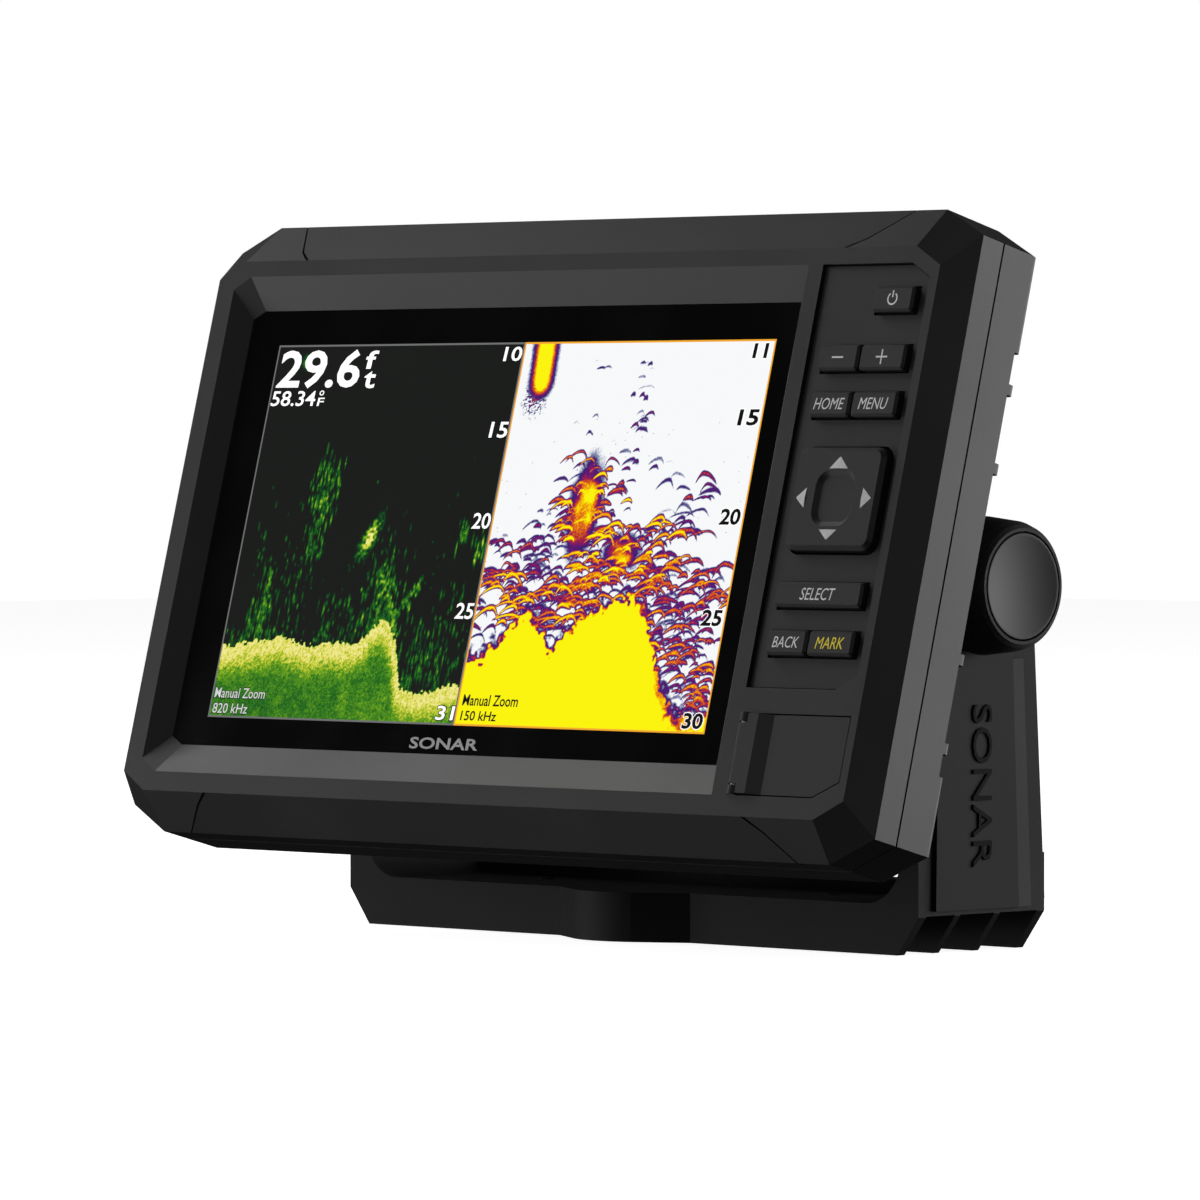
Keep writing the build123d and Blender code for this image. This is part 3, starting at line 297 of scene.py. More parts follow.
def lit_picture(name, stops, line_colour, size, line_width, grain):
    """A lit picture: the echo's strength picks a colour, and a thin line runs round its edge."""
    finish = Finish(name, Base_Color=(0.004, 0.004, 0.004, 1.0), Emission_Strength=1.0)
    echo = Value(finish, finish.add("ShaderNodeAttribute", {"attribute_name": "echo"}).outputs["Fac"])
    uv = finish.add("ShaderNodeSeparateXYZ", None, {0: finish.add("ShaderNodeTexCoord").outputs["UV"]})
    across, up = (Value(finish, uv.outputs[i]) * size[i] for i in (0, 1))
    edge = across.lowest(size[0] - across).lowest(up.lowest(size[1] - up))
    speckle = finish.noise(2600.0, 2.0)
    colour = finish.ramp(echo + (speckle - 0.5) * grain, stops)
    finish.set(Emission_Color=finish.blend(edge.over(line_width), line_colour, colour),
               Roughness=finish.noise(30.0) * 0.06 + 0.09)
    return finish.material


FINISHES = {
    "case_plastic": moulded("case_plastic", 0.026, 0.46),
    "trim_plastic": moulded("trim_plastic", 0.024, 0.40, 0.3, 0.009),
    "bracket_plastic": moulded("bracket_plastic", 0.018, 0.62, 0.5, 0.016, shine=0.14),
    "cradle_plastic": moulded("cradle_plastic", 0.022, 0.52, 0.5, 0.016),
    "knob_plastic": moulded("knob_plastic", 0.020, 0.46, 0.3, 0.010, shine=0.22),
    "key_plastic": moulded("key_plastic", 0.022, 0.50, 0.25, 0.008),
    "panel_plastic": moulded("panel_plastic", 0.016, 0.50, 0.3, 0.010),
    "door_plastic": moulded("door_plastic", 0.020, 0.50, 0.3, 0.010),
    "socket_plastic": moulded("socket_plastic", 0.018, 0.36, 0.4, 0.006),
    "chip": moulded("chip", 0.02, 0.55, 0.2, 0.010),
    "washer_nylon": moulded("washer_nylon", 0.62, 0.42, 0.4, 0.006, 0.05),
    "ceramic": moulded("ceramic", 0.42, 0.38, 0.2, 0.004, 0.08),
    "knob_rubber": rubber("knob_rubber", 0.034),
    "seal_rubber": rubber("seal_rubber", 0.02, 0.3, 0.02),
    "cover_glass": glass_finish("cover_glass"),
    "lcd": glass_finish("lcd"),
    "sheet_metal": metal("sheet_metal", (0.62, 0.62, 0.61), 0.38),
    "steel": metal("steel", (0.56, 0.56, 0.57), 0.28),
    "brass": metal("brass", (0.72, 0.52, 0.22), 0.32),
    "aluminium": metal("aluminium", (0.72, 0.73, 0.74), 0.42),
    "gold": metal("gold", (0.83, 0.61, 0.22), 0.22),
    "circuit_board": circuit_board("circuit_board"),
}
for node in nodes.values():
    for place in node.material_slots:
        place.material = FINISHES[place.material.name.split(".")[0]]

# ---- making pieces ------------------------------------------------------------------------

def piece(name, points, faces, body, finish, values=None, uv=None):
    """A piece from arrays: its points, its quads by index, and one value for each point."""
    mesh = bpy.data.meshes.new(name)
    mesh.vertices.add(len(points))
    mesh.vertices.foreach_set("co", np.asarray(points, np.float32).ravel())
    mesh.loops.add(faces.size)
    mesh.loops.foreach_set("vertex_index", faces.ravel().astype(np.int32))
    mesh.polygons.add(len(faces))
    mesh.polygons.foreach_set("loop_start", np.arange(0, faces.size, faces.shape[1], dtype=np.int32))
    mesh.update(calc_edges=True)
    mesh.validate()
    if values is not None:
        mesh.attributes.new("echo", "FLOAT", "POINT").data.foreach_set("value", values.astype(np.float32))
    if uv is not None:
        mesh.uv_layers.new(name="UVMap").data.foreach_set("uv", uv[faces.ravel()].astype(np.float32).ravel())
    mesh.materials.append(finish)
    made = bpy.data.objects.new(name, mesh)
    scene.collection.objects.link(made)
    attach(made, body)
    return made


def grid_faces(rows, columns, first=0):
    """Quads between the points of a grid, counted along its rows."""
    index = np.arange(rows * columns).reshape(rows, columns) + first
    return np.stack((index[:-1, :-1], index[:-1, 1:], index[1:, 1:], index[1:, :-1]), -1).reshape(-1, 4)


def strip(path, width):
    """A flat band along a path in the plane: each point moved half the width to either side."""
    run = np.gradient(path, axis=0)
    side = np.stack((-run[:, 1], run[:, 0]), -1) / np.linalg.norm(run, axis=1)[:, None]
    return np.stack((path + side * width / 2, path - side * width / 2)), grid_faces(2, len(path))


def bars(*paths, width):
    """Several bands as one figure: points in the plane, and quads."""
    points, faces = [], []
    for path in paths:
        band, quads = strip(np.asarray(path, float), width)
        faces.append(quads + sum(len(p) for p in points))
        points.append(band.reshape(-1, 2))
    return np.concatenate(points), np.concatenate(faces)


def lettering(name, text, box, lay, body, finish, slant=0.0, bold=0.0, thick=0.0, squash=True):
    """Letters that fill a box (left, right, foot, top); lay turns plane points into places."""
    font = bpy.data.curves.new(name, "FONT")
    font.body, font.shear, font.offset, font.extrude = text, slant, bold, thick
    font.resolution_u = 3
    holder = bpy.data.objects.new(name + "_outline", font)
    scene.collection.objects.link(holder)
    bpy.context.view_layer.update()
    mesh = bpy.data.meshes.new_from_object(holder.evaluated_get(bpy.context.evaluated_depsgraph_get()))
    bpy.data.objects.remove(holder)
    points = np.empty(len(mesh.vertices) * 3)
    mesh.vertices.foreach_get("co", points)
    points = points.reshape(-1, 3)
    low, high = points.min(0), points.max(0)
    left, right, foot, top = box
    height = (top - foot) / (high[1] - low[1])
    width = (right - left) / (high[0] - low[0]) if squash else height
    flat = np.stack(((points[:, 0] - low[0]) * width + left, (points[:, 1] - low[1]) * height + foot), -1)
    depth = (points[:, 2] - low[2]) / max(high[2] - low[2], 1e-9)
    mesh.vertices.foreach_set("co", lay(flat[:, 0], flat[:, 1], depth).astype(np.float32).ravel())
    mesh.materials.clear()
    mesh.materials.append(finish)
    mesh.name = name
    made = bpy.data.objects.new(name, mesh)
    scene.collection.objects.link(made)
    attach(made, body)
    return made


def flat_on(height):
    """Lays plane points on the head, at one height over the glass's front."""
    return lambda x, v, depth: on_face(x, v, height)


# ---- the lit picture ----------------------------------------------------------------------

PICTURE_LEFT = -90.54 * MM
PICTURE_RIGHT = 63.54 * MM
PICTURE_SPLIT = -11.9 * MM
PICTURE_HALF = 42.96 * MM
PICTURE_LIFT = 0.04 * MM     # the picture lies just over the glass
DOT = 0.26 * MM              # size of a picture dot
LINE = 0.42 * MM             # the line round each picture


def bell(x, middle, width):
    """A smooth hump of height 1."""
    return np.exp(-((x - middle) / width) ** 2)


def ripple(x, seed, pitches=(0.031, 0.013, 0.0061), heights=(1.0, 0.5, 0.28)):
    """An uneven line: sine waves of a few pitches with drawn phases."""
    phases = np.random.default_rng(seed).uniform(0, 2 * math.pi, len(pitches))
    return sum(h * np.sin(2 * math.pi * x / p + f) for p, h, f in zip(pitches, heights, phases))


def soft_patches(shape, seed, size):
    """Cloudy noise from 0 to 1: drawn values on a coarse grid, smoothed between its points."""
    draw = np.random.default_rng(seed)
    rows, columns = (max(2, int(n / size) + 2) for n in shape)
    coarse = draw.random((rows, columns))
    r, c = (np.linspace(0, n - 1.001, m) for n, m in ((rows, shape[0]), (columns, shape[1])))
    i, j = np.floor(r).astype(int), np.floor(c).astype(int)
    a, b = (r - i)[:, None], (c - j)[None, :]
    a, b = a * a * (3 - 2 * a), b * b * (3 - 2 * b)
    near, far = (ends[:, j] * (1 - b) + ends[:, j + 1] * b for ends in (coarse[i], coarse[i + 1]))
    return near * (1 - a) + far * a


def stamp(echo, x, v, middle, reach, mark):
    """Lays a mark over part of the picture, keeping the stronger echo at each point."""
    columns = np.abs(x - middle[0]) < reach[0]
    rows = np.abs(v - middle[1]) < reach[1]
    part = np.ix_(rows, columns)
    echo[part] = np.maximum(echo[part], mark(x[columns][None, :] - middle[0], v[rows][:, None] - middle[1]))


LONG_TAIL, SHORT_TAIL = 1.55, 0.75   # how far a fish's two tails reach, in half widths


def fish_arch(echo, x, v, crest, half_width, drop, thickness, strength, lean):
    """One fish: a band under a parabola, strongest at its crest and thinner down its tails."""
    def mark(dx, dv):
        t = dx / (half_width * np.where(dx * lean < 0, LONG_TAIL, SHORT_TAIL))
        along = np.clip(1 - t * t, 0, None)
        off = (dv + drop * t * t) / (thickness * (0.30 + 0.70 * along))
        return strength * np.exp(-off * off) * np.clip(along * 2.2, 0, 1) ** 0.7
    stamp(echo, x, v, crest, (LONG_TAIL * half_width, drop + 3 * thickness), mark)


def sonar_echo(x, v):
    """The right-hand picture: a bright bed, schools over it, and single fish as arches."""
    draw = np.random.default_rng(11)
    width, height = x[-1] - x[0], v[-1] - v[0]
    s, t = (x - x[0]) / width, (v - v[0]) / height
    echo = np.zeros((len(v), len(x)))
    grain = draw.random(echo.shape)
    cloud = soft_patches(echo.shape, 5, 9)
    bed = (0.205 + 0.070 * bell(s, 0.215, 0.075) - 0.035 * bell(s, 0.335, 0.03) + 0.07 * bell(s, 0.46, 0.10)
           + 0.115 * bell(s, 0.62, 0.115) - 0.17 / (1 + np.exp(-(s - 0.79) / 0.040))
           - 0.03 * bell(s, 0.03, 0.06)
           + 0.006 * ripple(x, 3))
    places = [  # middle across, middle up, spread across, spread up, how many, size in mm, strength
        (0.36, 0.55, 0.060, 0.070, 90, 2.2, 0.80), (0.22, 0.44, 0.050, 0.070, 70, 2.2, 0.55),
        (0.55, 0.47, 0.075, 0.050, 90, 2.5, 0.82), (0.12, 0.33, 0.070, 0.050, 70, 3.0, 0.78),
        (0.34, 0.31, 0.100, 0.060, 90, 3.0, 0.72), (0.70, 0.40, 0.050, 0.080, 80, 2.6, 0.72),
        (0.50, 0.36, 0.120, 0.050, 110, 2.6, 0.76), (0.84, 0.20, 0.050, 0.080, 80, 2.5, 0.62),
        (0.94, 0.15, 0.030, 0.070, 70, 2.2, 0.66), (0.93, 0.38, 0.050, 0.030, 34, 3.0, 0.70),
        (0.79, 0.30, 0.050, 0.060, 50, 2.6, 0.58), (0.80, 0.53, 0.040, 0.050, 16, 3.2, 0.70),
        (0.84, 0.60, 0.020, 0.040, 7, 3.6, 0.78), (0.52, 0.66, 0.020, 0.060, 13, 2.4, 0.50),
        (0.53, 0.83, 0.018, 0.090, 22, 2.0, 0.46), (0.30, 0.76, 0.080, 0.080, 12, 1.6, 0.36),
        (0.66, 0.58, 0.060, 0.060, 14, 2.2, 0.40), (0.05, 0.47, 0.012, 0.030, 8, 1.6, 0.50),
    ]
    for middle, rise, spread, spread_up, count, size, strength in places:
        for _ in range(count * 4 // 5):
            crest = (x[0] + width * draw.normal(middle, spread), v[0] + height * draw.normal(rise, spread_up))
            half = size * MM * draw.uniform(0.35, 1.45)
            fish_arch(echo, x, v, crest, half, half * draw.uniform(0.30, 1.15),
                      0.46 * MM * draw.uniform(0.6, 1.7),
                      strength * draw.uniform(0.45, 1.30), draw.choice((-1, 1), p=(0.15, 0.85)))
    across, up = s[None, :], t[:, None]
    school = bell(across, 0.365 + 0.03 * (up - 0.55), 0.055) * bell(up, 0.57, 0.115)
    second = bell(across, 0.55, 0.07) * bell(up, 0.455, 0.045)
    echo = np.maximum(echo, (school * 1.25).clip(0, 1) * (0.55 + 0.5 * cloud))
    echo = np.maximum(echo, (second * 1.1).clip(0, 0.92) * (0.45 + 0.6 * cloud))
    plume = bell(across, 0.085 + 0.01 * np.sin(9 * up), 0.042) * (1 / (1 + np.exp(-(up - 0.865) / 0.012)))
    echo = np.maximum(echo, (plume * 1.35).clip(0, 1.0))
    fringe = bell(across, 0.08, 0.055) * bell(up, 0.85, 0.055) * (grain > 0.55)
    echo = np.maximum(echo, 0.62 * fringe * grain)
    rough = soft_patches(echo.shape, 6, 3.5) + 0.6 * soft_patches(echo.shape, 10, 9) - 0.8
    over = (up - bed[None, :]) * height + rough * 3.2 * MM
    rim = np.exp(-np.clip(over, 0, None) / (1.7 * MM)) * (0.60 + 0.55 * cloud)
    echo = np.maximum(echo, np.where(over > 0, rim, 1.0))
    edge = bell(across, 0.86, 0.09) * bell(over, -1.2 * MM, 2.0 * MM)
    echo = echo - edge * 0.55 * (cloud + 0.35)
    strays = (grain > 0.9985) & (echo < 0.15) & (up < 0.8)
    echo = np.where(strays, 0.34, echo)
    return echo * (0.86 + 0.22 * grain) + np.where(echo > 0.9, 0.10, 0.0)


def weed_echo(x, v):
    """The left-hand picture: a grainy bed, weed as upright dashes, and a few fish as blobs."""
    draw = np.random.default_rng(23)
    width, height = x[-1] - x[0], v[-1] - v[0]
    s, t = (x - x[0]) / width, (v - v[0]) / height
    echo = np.zeros((len(v), len(x)))
    grain = draw.random(echo.shape)
    cloud = soft_patches(echo.shape, 7, 12)
    fine = soft_patches(echo.shape, 8, 2.4)
    bed = (0.190 + 0.030 * bell(s, 0.24, 0.10) + 0.012 * bell(s, 0.5, 0.12) + 0.080 * bell(s, 0.65, 0.062)
           - 0.110 / (1 + np.exp(-(s - 0.735) / 0.012)) + 0.025 * bell(s, 1.0, 0.075) + 0.004 * ripple(x, 4))
    places = [  # middle across, middle up, spread across, spread up, how many, length in mm, strength
        (0.31, 0.60, 0.030, 0.055, 110, 2.0, 0.52), (0.30, 0.48, 0.022, 0.040, 40, 1.8, 0.42),
        (0.13, 0.26, 0.022, 0.060, 60, 2.6, 0.50), (0.25, 0.30, 0.030, 0.060, 40, 1.8, 0.38),
        (0.63, 0.30, 0.045, 0.055, 110, 2.0, 0.52), (0.60, 0.40, 0.050, 0.050, 44, 1.5, 0.44),
        (0.80, 0.16, 0.060, 0.065, 150, 2.2, 0.42), (0.92, 0.22, 0.040, 0.100, 70, 1.8, 0.38),
        (0.50, 0.24, 0.080, 0.040, 90, 1.6, 0.42), (0.90, 0.50, 0.012, 0.030, 14, 2.4, 0.60),
        (0.97, 0.44, 0.010, 0.020, 12, 2.2, 0.66), (0.09, 0.46, 0.016, 0.060, 18, 1.4, 0.36),
        (0.5, 0.35, 0.30, 0.14, 150, 0.9, 0.26), (0.20, 0.40, 0.05, 0.05, 26, 1.2, 0.36),
        (0.41, 0.25, 0.012, 0.05, 26, 1.6, 0.42), (0.12, 0.20, 0.08, 0.02, 70, 2.0, 0.42),
    ]
    for middle, rise, spread, spread_up, count, length, strength in places:
        for _ in range(count):
            spot = (x[0] + width * draw.normal(middle, spread), v[0] + height * draw.normal(rise, spread_up))
            tall, thin = length * MM * draw.uniform(0.4, 1.0), 0.24 * MM * draw.uniform(0.8, 1.7)
            power = strength * draw.uniform(0.5, 1.35)
            stamp(echo, x, v, spot, (3 * thin, 3 * tall),
                  lambda dx, dv: power * np.exp(-(dx / thin) ** 2 - (dv / tall) ** 2))
    for s0, t0, s1, t1, power in ((0.60, 0.395, 0.67, 0.285, 0.66), (0.77, 0.37, 0.68, 0.28, 0.60),
                                  (0.67, 0.285, 0.70, 0.23, 0.66), (0.145, 0.40, 0.150, 0.22, 0.52)):
        for share in np.linspace(0, 1, 40):
            spot = (x[0] + width * (s0 + (s1 - s0) * share + draw.normal(0, 0.006)),
                    v[0] + height * (t0 + (t1 - t0) * share + draw.normal(0, 0.006)))
            stamp(echo, x, v, spot, (1.5 * MM, 2.4 * MM),
                  lambda dx, dv: power * np.exp(-(dx / (0.36 * MM)) ** 2 - (dv / (0.8 * MM)) ** 2))
    across, up = s[None, :], t[:, None]
    a, b = (across - 0.525) * width, (up - 0.485) * height
    fish = np.exp(-((a * 0.88 - b * 0.47) / (1.9 * MM)) ** 2 - ((a * 0.47 + b * 0.88) / (4.9 * MM)) ** 2)
    echo = np.maximum(echo, fish * (0.45 + 0.75 * fine))
    echo = np.where(echo > 0.12, echo * (0.55 + 0.85 * fine), echo)
    lump = bell(across, 0.64, 0.05) * bell(up, 0.235, 0.05)
    echo = np.maximum(echo, lump * (0.35 + 0.75 * fine))
    below = (bed[None, :] - up) * height
    crust = 0.93 * np.exp(-np.clip(below - 2.5 * MM, 0, None) / (9.0 * MM))
    floor = np.maximum(crust, 0.36 + 0.12 * cloud + 0.08 * across) * (0.74 + 0.30 * fine + 0.26 * grain)
    ragged = below + (fine - 0.5) * 1.6 * MM
    echo = np.where(ragged > 0, np.clip(floor, 0, 1.0), echo)
    top_left = bell(across, 0.13, 0.02) * bell(up, 0.955, 0.022) * (0.3 + 0.5 * fine)
    return np.maximum(echo, top_left) * (0.86 + 0.24 * grain) + 0.012 * soft_patches(echo.shape, 9, 60)


def picture(name, left, right, field, finish):
    """One lit picture: a flat grid of dots on the glass, each with its echo's strength."""
    across = np.linspace(left, right, int((right - left) / DOT))
    up = np.linspace(-PICTURE_HALF, PICTURE_HALF, int(2 * PICTURE_HALF / DOT))
    x, v = np.meshgrid(across, up)
    uv = np.stack(((x - left) / (right - left), (v + PICTURE_HALF) / (2 * PICTURE_HALF)), -1)
    piece(name, on_face(x, v, PICTURE_LIFT).reshape(-1, 3), grid_faces(*x.shape), "head", finish,
          field(across, up).ravel(), uv.reshape(-1, 2))


SONAR_COLOURS = [
    (0.00, (0.93, 0.94, 0.95)), (0.16, (0.93, 0.94, 0.95)), (0.25, (0.25, 0.28, 0.45)),
    (0.33, (0.035, 0.012, 0.16)), (0.46, (0.11, 0.008, 0.17)), (0.58, (0.42, 0.014, 0.03)),
    (0.70, (0.80, 0.17, 0.004)), (0.83, (0.93, 0.60, 0.0)), (0.95, (0.96, 0.90, 0.003)),
]
WEED_COLOURS = [
    (0.00, (0.010, 0.011, 0.010)), (0.12, (0.010, 0.012, 0.010)), (0.24, (0.004, 0.05, 0.012)),
    (0.42, (0.02, 0.16, 0.012)), (0.60, (0.12, 0.34, 0.012)), (0.76, (0.50, 0.58, 0.03)),
    (0.90, (0.78, 0.72, 0.12)), (1.00, (0.88, 0.82, 0.30)),
]
sides = ((PICTURE_LEFT, PICTURE_SPLIT), (PICTURE_SPLIT, PICTURE_RIGHT))
sizes = [(right - left, 2 * PICTURE_HALF) for left, right in sides]
picture("weed_picture", *sides[0], weed_echo,
        lit_picture("weed_picture", WEED_COLOURS, tone(0.16), sizes[0], LINE, 0.10))
picture("sonar_picture", *sides[1], sonar_echo,
        lit_picture("sonar_picture", SONAR_COLOURS, (0.90, 0.40, 0.03), sizes[1], LINE, 0.16))

# ---- words and numbers in the picture -----------------------------------------------------

white_light = ink("white_light", (0.90, 0.90, 0.90), 1.0, 0.2)
black_light = ink("black_light", (0.012, 0.012, 0.014), 0.0, 0.2)
dim_light = ink("dim_light", (0.50, 0.52, 0.50), 1.0, 0.2)


def caption(name, text, box_mm, light, edge=None, slant=0.04, bold=0.015):
    """Letters in the picture, with a wider copy behind them as an outline."""
    box = [side * MM for side in box_mm]
    if edge:
        grow = 0.22 * MM
        wide = (box[0] - grow, box[1] + grow, box[2] - grow, box[3] + grow)
        lettering(name + "_edge", text, wide, flat_on(PICTURE_LIFT + 0.02 * MM), "head", edge, slant,
                  bold + 0.035)
    lettering(name, text, box, flat_on(PICTURE_LIFT + 0.04 * MM), "head", light, slant, bold)


caption("depth_readout", "29.6", (-89.2, -62.6, 32.9, 41.8), white_light, bold=0.02)
caption("depth_unit_f", "f", (-61.4, -57.6, 37.3, 41.5), white_light, bold=0.02)
caption("depth_unit_t", "t", (-60.8, -57.2, 32.8, 36.8), white_light, bold=0.02)
caption("water_temperature", "58.34", (-89.8, -75.4, 28.8, 32.3), white_light, bold=0.01)
caption("temperature_mark", "o", (-74.4, -72.9, 31.2, 32.4), white_light, bold=0.01)
caption("temperature_unit", "F", (-74.6, -72.4, 28.8, 30.7), white_light, bold=0.01)
WEED_DEPTHS = ((10, 38.7, 42.0), (15, 21.4, 25.0), (20, 0.9, 4.5), (25, -19.3, -15.7), (31, -41.9, -38.7))
SONAR_DEPTHS = ((11, 38.8, 42.1), (15, 24.0, 27.6), (20, 2.3, 5.9), (25, -19.7, -16.1), (30, -42.0, -38.5))
NARROW_INSET = 0.8           # eleven is narrower than the other numbers, in mm each side
for number, foot, top in WEED_DEPTHS:
    caption(f"weed_depth_{number}", str(number), (-17.9, -12.3, foot, top), white_light, black_light)
for number, foot, top in SONAR_DEPTHS:
    inset = NARROW_INSET if number == 11 else 0.0
    caption(f"sonar_depth_{number}", str(number), (56.5 + inset, 62.5 - inset, foot, top), black_light,
            white_light, bold=0.03)
caption("weed_mode", "Manual Zoom", (-89.6, -73.2, -38.5, -36.2), dim_light, black_light, bold=0.005)
caption("weed_frequency", "820 kHz", (-89.4, -78.0, -42.0, -39.7), dim_light, black_light, bold=0.005)
caption("sonar_mode", "Manual Zoom", (-10.4, 6.6, -38.5, -36.0), black_light, bold=0.015)
caption("sonar_frequency", "150 kHz", (-10.2, 0.8, -41.8, -39.6), black_light, bold=0.015)

# ---- printed legends, with painted glow ---------------------------------------------------

# the grey, white and yellow print glows a little: painted glow that keeps the print bright whatever light
# falls on it
grey_print_painted_glow = ink("grey_print_painted_glow", (0.34, 0.34, 0.34), 0.35, 0.4)
white_print_painted_glow = ink("white_print_painted_glow", (0.60, 0.60, 0.60), 0.32)
yellow_print_painted_glow = ink("yellow_print_painted_glow", (0.72, 0.58, 0.03), 0.32)
PRINT_LIFT = 0.03 * MM
WORD_KEYS = {   # key: word, width, height, print
    "home": ("HOME", 8.6, 2.5, white_print_painted_glow), "menu": ("MENU", 8.2, 2.5, white_print_painted_glow),
    "select": ("SELECT", 9.8, 2.6, white_print_painted_glow), "back": ("BACK", 7.4, 2.4, white_print_painted_glow),
    "mark": ("MARK", 8.0, 2.5, yellow_print_painted_glow),
}
for key, (word, width, height, shade) in WORD_KEYS.items():
    x, v, h = key_top(f"{key}_key")
    box = (x - width * MM / 2, x + width * MM / 2, v - height * MM / 2, v + height * MM / 2)
    lettering(f"{key}_legend", word, box, flat_on(h + PRINT_LIFT), f"{key}_button", shade, 0.22, 0.0)

turn = np.radians(np.linspace(125, 415, 40))
ring = np.stack((np.cos(turn), np.sin(turn)), -1) * 1.25 * MM
upright = np.array(((0, 0.25), (0, 0.9), (0, 1.75))) * MM
level = np.array(((-1.6, 0), (0, 0), (1.6, 0))) * MM
FIGURES = {"power": (ring, upright), "minus": (level,), "plus": (level, level[:, ::-1])}
for key, paths in FIGURES.items():
    x, v, h = key_top(f"{key}_key")
    flat, quads = bars(*paths, width=0.36 * MM)
    piece(f"{key}_legend", on_face(flat[:, 0] + x, flat[:, 1] + v, h + PRINT_LIFT), quads[:, ::-1],
          f"{key}_button", white_print_painted_glow)

pad_x, pad_v, pad_h = key_top("dpad_key")
ARROWS = {   # key: way across, way up, start, length, half width in mm
    "up": (0, 1, 6.3, 2.5, 2.6), "down": (0, -1, 6.8, 2.1, 2.5),
    "left": (-1, 0, 8.0, 2.5, 2.2), "right": (1, 0, 8.0, 2.5, 2.2),
}
# the arrows are print, and their small glow is painted glow
for name, (right, up, start, length, half) in ARROWS.items():
    t = np.linspace(0, 1, 6)[:, None]
    w = np.linspace(-1, 1, 5)[None, :] * (1 - t * 0.94) * half * MM
    reach = (start + t * length) * MM + 0 * w
    x, v = reach * right + w * up, reach * up - w * right
    rise = 0.16 * MM * (1 - np.abs(np.linspace(-1, 1, 5)))[None, :] * (1 - t)
    piece(f"{name}_arrow", on_face(pad_x + x, pad_v + v, pad_h + PRINT_LIFT + rise).reshape(-1, 3),
          grid_faces(6, 5)[:, ::-1], "dpad", ink(f"{name}_arrow", (0.75, 0.75, 0.75), 0.1))

# the word under the glass is grey print with a painted glow
lettering("face_word", "SONAR", (-24.4 * MM, -3.2 * MM, -48.4 * MM, -45.8 * MM), flat_on(0.02 * MM),
          "head", grey_print_painted_glow, 0.0, 0.02)

# the bracket's word runs down each arm, and the letters stand a little off the raised panel
arm_low, arm_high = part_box("bail_bracket")
WORD_TOP, WORD_FOOT = 53.0 * MM, 18.4 * MM
WORD_FRONT, WORD_BACK = -4.0 * MM, 2.0 * MM
WORD_RELIEF = 0.35 * MM
# the raised letters are coloured darker than the bracket: painted shade for the shade round their relief
arm_word_painted_shade = moulded("arm_word", 0.004, 0.60, 0.3, 0.006, shine=0.05)
for name, face, side in (("right_arm_word", arm_high.x, 1), ("left_arm_word", arm_low.x, -1)):
    def lay(x, v, depth, face=face, side=side):
        """Letters read downwards, their tops to the back on the right arm, to the front on the left."""
        middle = (WORD_FRONT + WORD_BACK) / 2
        out = face + side * WORD_RELIEF * (depth * 1.1 - 0.1)
        return np.stack((out, middle + side * (v - middle), -x), -1)
    lettering(name, "SONAR", (-WORD_TOP, -WORD_FOOT, WORD_FRONT, WORD_BACK), lay, "bracket", arm_word_painted_shade,
              0.0, 0.0, 0.05)

# ---- the dished caps of the clamping knobs -------------------------------------------------

def turned(name, profile, centre, side, body, finish, around=96):
    """A turned shape about X: a profile of (radius, way out) points carried round the knob's axis."""
    angle = np.linspace(0, 2 * math.pi, around, endpoint=False)
    radius, way = np.asarray(profile, float).T
    ring = np.stack((side * way[:, None] + 0 * angle, centre.y + radius[:, None] * np.cos(angle),
                     centre.z + radius[:, None] * np.sin(angle)), -1)
    ring = np.concatenate((ring, ring[:, :1]), 1)
    faces = grid_faces(*ring.shape[:2])
    made = piece(name, ring.reshape(-1, 3), faces[:, ::-side], body, finish)
    shape = bmesh.new()
    shape.from_mesh(made.data)
    bmesh.ops.remove_doubles(shape, verts=shape.verts, dist=0.001 * MM)
    bmesh.ops.recalc_face_normals(shape, faces=shape.faces)
    shape.to_mesh(made.data)
    shape.free()
    made.data.shade_smooth()
    made.data.set_sharp_from_angle(angle=math.radians(35))
    return made


DISH_DEPTH = 1.05 * MM
RIM_ROLL = 0.35 * MM
for side_name, side in (("right", 1), ("left", -1)):
    low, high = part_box(f"{side_name}_knob_cap")
    radius = (high.y - low.y) / 2
    face, back = (max(abs(low.x), abs(high.x)), min(abs(low.x), abs(high.x)))
    sweep = np.linspace(0, 1, 24)
    hollow = [(r * (radius - RIM_ROLL), face - DISH_DEPTH * (1 - r * r)) for r in sweep]
    roll = [(radius - RIM_ROLL * (1 - math.sin(a)), face - RIM_ROLL * (1 - math.cos(a)))
            for a in np.linspace(0.2, math.pi / 2, 7)]
    profile = [*hollow, *roll, (radius, back), (0.0, back)]
    dish = turned(f"{side_name}_knob_dish", profile, (low + high) / 2, side, f"{side_name}_knob",
                  FINISHES["knob_plastic"])
    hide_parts(f"{side_name}_knob_cap")

# ---- the studio ---------------------------------------------------------------------------

def softbox(name, place, aim, size, power):
    """A square area light, pointed at a place."""
    lamp = bpy.data.lights.new(name, "AREA")
    lamp.shape, lamp.size, lamp.energy = "SQUARE", size, power
    made = bpy.data.objects.new(name, lamp)
    made.location = place
    made.rotation_euler = (Vector(aim) - Vector(place)).to_track_quat("-Z", "Y").to_euler()
    made.visible_camera = False
    scene.collection.objects.link(made)
    return made


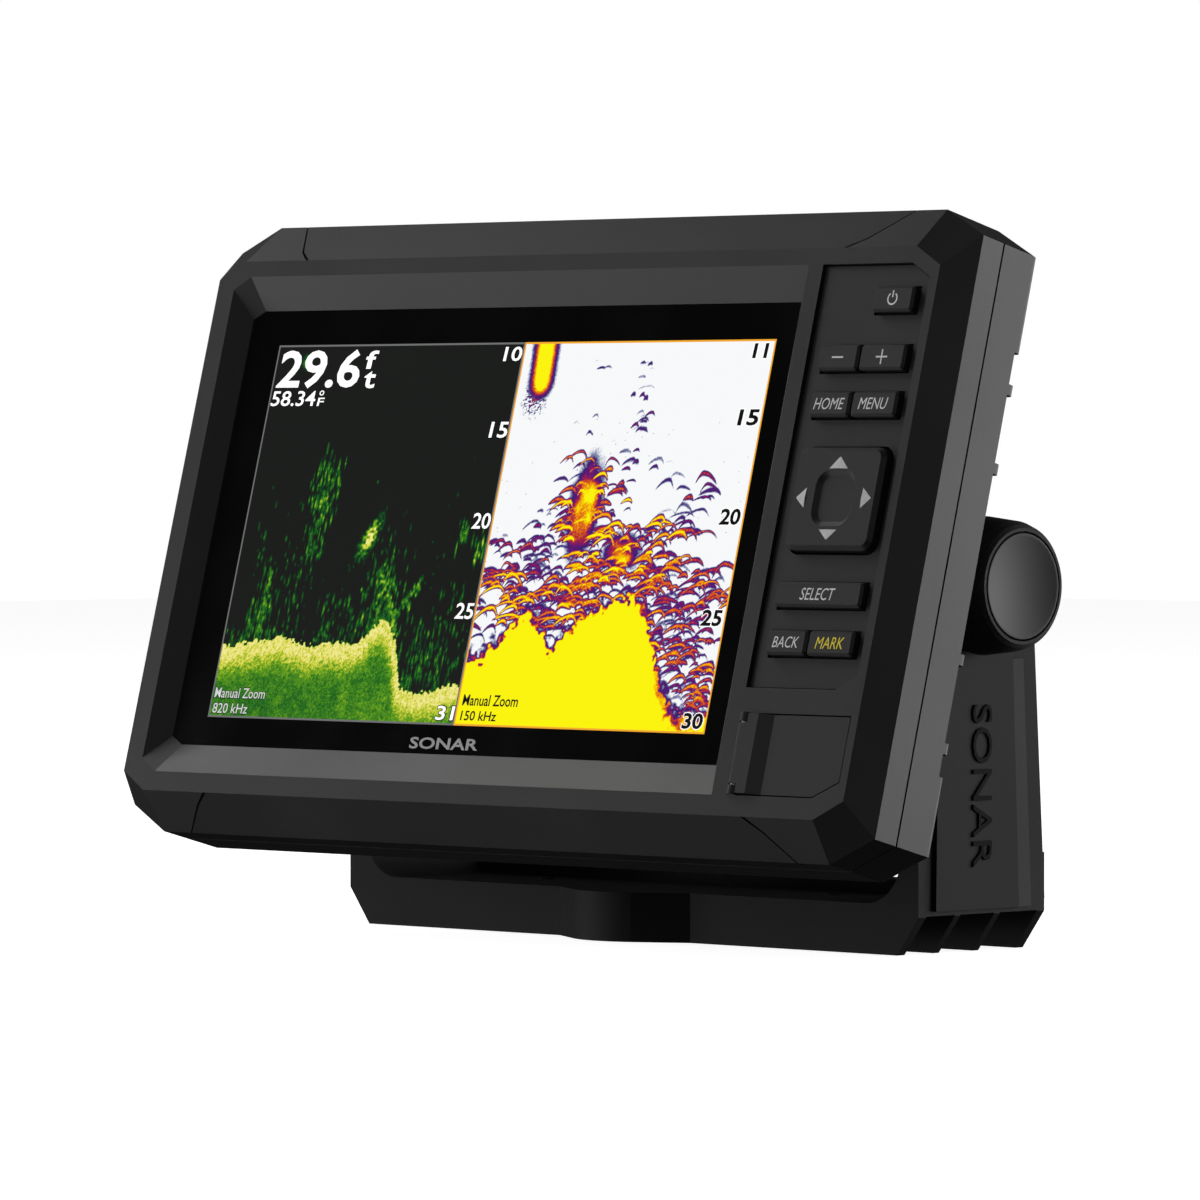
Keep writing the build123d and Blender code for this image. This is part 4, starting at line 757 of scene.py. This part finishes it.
def studio_world():
    """White where the camera looks past the object, and a soft sky from behind on the right for the rest."""
    world = bpy.data.worlds.new("studio")
    world.use_nodes = True
    tree = world.node_tree
    scene.world = world
    sky = tree.nodes["Background"]
    direction = tree.nodes.new("ShaderNodeTexCoord").outputs["Generated"]
    facing = tree.nodes.new("ShaderNodeVectorMath")
    facing.operation = "DOT_PRODUCT"
    facing.inputs[1].default_value = Vector((0.55, 0.83, 0.08)).normalized()
    tree.links.new(direction, facing.inputs[0])
    level = tree.nodes.new("ShaderNodeMapRange")
    level.interpolation_type = "SMOOTHSTEP"
    for socket, value in (("From Min", 0.1), ("From Max", 1.0), ("To Min", 0.16), ("To Max", 1.5)):
        level.inputs[socket].default_value = value
    tree.links.new(facing.outputs["Value"], level.inputs["Value"])
    tree.links.new(level.outputs["Result"], sky.inputs["Strength"])
    paper = tree.nodes.new("ShaderNodeBackground")
    paper.inputs["Color"].default_value = (1.0, 1.0, 1.0, 1.0)
    seen = tree.nodes.new("ShaderNodeLightPath").outputs["Is Camera Ray"]
    both = tree.nodes.new("ShaderNodeMixShader")
    tree.links.new(seen, both.inputs[0])
    tree.links.new(sky.outputs[0], both.inputs[1])
    tree.links.new(paper.outputs[0], both.inputs[2])
    tree.links.new(both.outputs[0], tree.nodes["World Output"].inputs["Surface"])


def studio_floor():
    """A pale paper floor under the object, with a faint tooth."""
    half = 3.0
    x, y = np.meshgrid(np.linspace(-half, half, 9), np.linspace(-half, half, 9))
    paper = Finish("paper", Emission_Strength=0.94, Specular_IOR_Level=0.1)
    tooth = paper.noise(40.0, 4.0)
    shade = paper.blend(tooth, tone(0.98), tone(1.0))
    paper.set(Base_Color=shade, Emission_Color=shade, Roughness=tooth * 0.1 + 0.85)
    mesh = bpy.data.meshes.new("floor")
    points = np.stack((x, y, np.full_like(x, cad_low.z - 0.2 * MM)), -1).reshape(-1, 3)
    mesh.from_pydata(points.tolist(), [], grid_faces(9, 9).tolist())
    mesh.materials.append(paper.material)
    floor = bpy.data.objects.new("floor", mesh)
    floor.visible_diffuse = False
    floor.visible_shadow = False
    floor.visible_glossy = False
    scene.collection.objects.link(floor)
    floor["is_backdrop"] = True


studio_world()
studio_floor()
middle = (cad_low + cad_high) / 2
LIGHTS = (   # name, way from the object's middle, size, power
    ("rim_light", (0.9, 1.62, 0.1), 1.1, 22),
    ("top_light", (-1.15, -0.34, 1.15), 0.8, 8),
    ("left_light", (-1.5, -0.9, -0.1), 0.9, 8),
    ("front_light", (-0.3, -1.45, 0.85), 1.0, 1.6),
    ("near_light", (1.1, -1.15, 0.62), 0.8, 1.2),
    ("floor_light", (-0.9, -1.2, -0.9), 0.8, 3),
)
for name, way, size, power in LIGHTS:
    softbox(name, middle + Vector(way), middle, size, power)

camera = bpy.data.objects.new("camera", bpy.data.cameras.new("camera"))
scene.collection.objects.link(camera)
scene.camera = camera
AZIMUTH, ELEVATION = math.radians(44.75), math.radians(1.1)
CAMERA_PLACE = (1.2309, -1.2693, 0.10795)
level_part = math.cos(ELEVATION)
towards = Vector((math.sin(AZIMUTH) * level_part, -math.cos(AZIMUTH) * level_part, math.sin(ELEVATION)))
camera.location = Vector(CAMERA_PLACE)
camera.rotation_euler = towards.to_track_quat("Z", "Y").to_euler()
camera.data.sensor_width, camera.data.lens = 36.0, 240.5
camera.data.clip_start, camera.data.clip_end = 0.05, 30.0
scene.view_settings.view_transform = "Standard"

low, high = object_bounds()
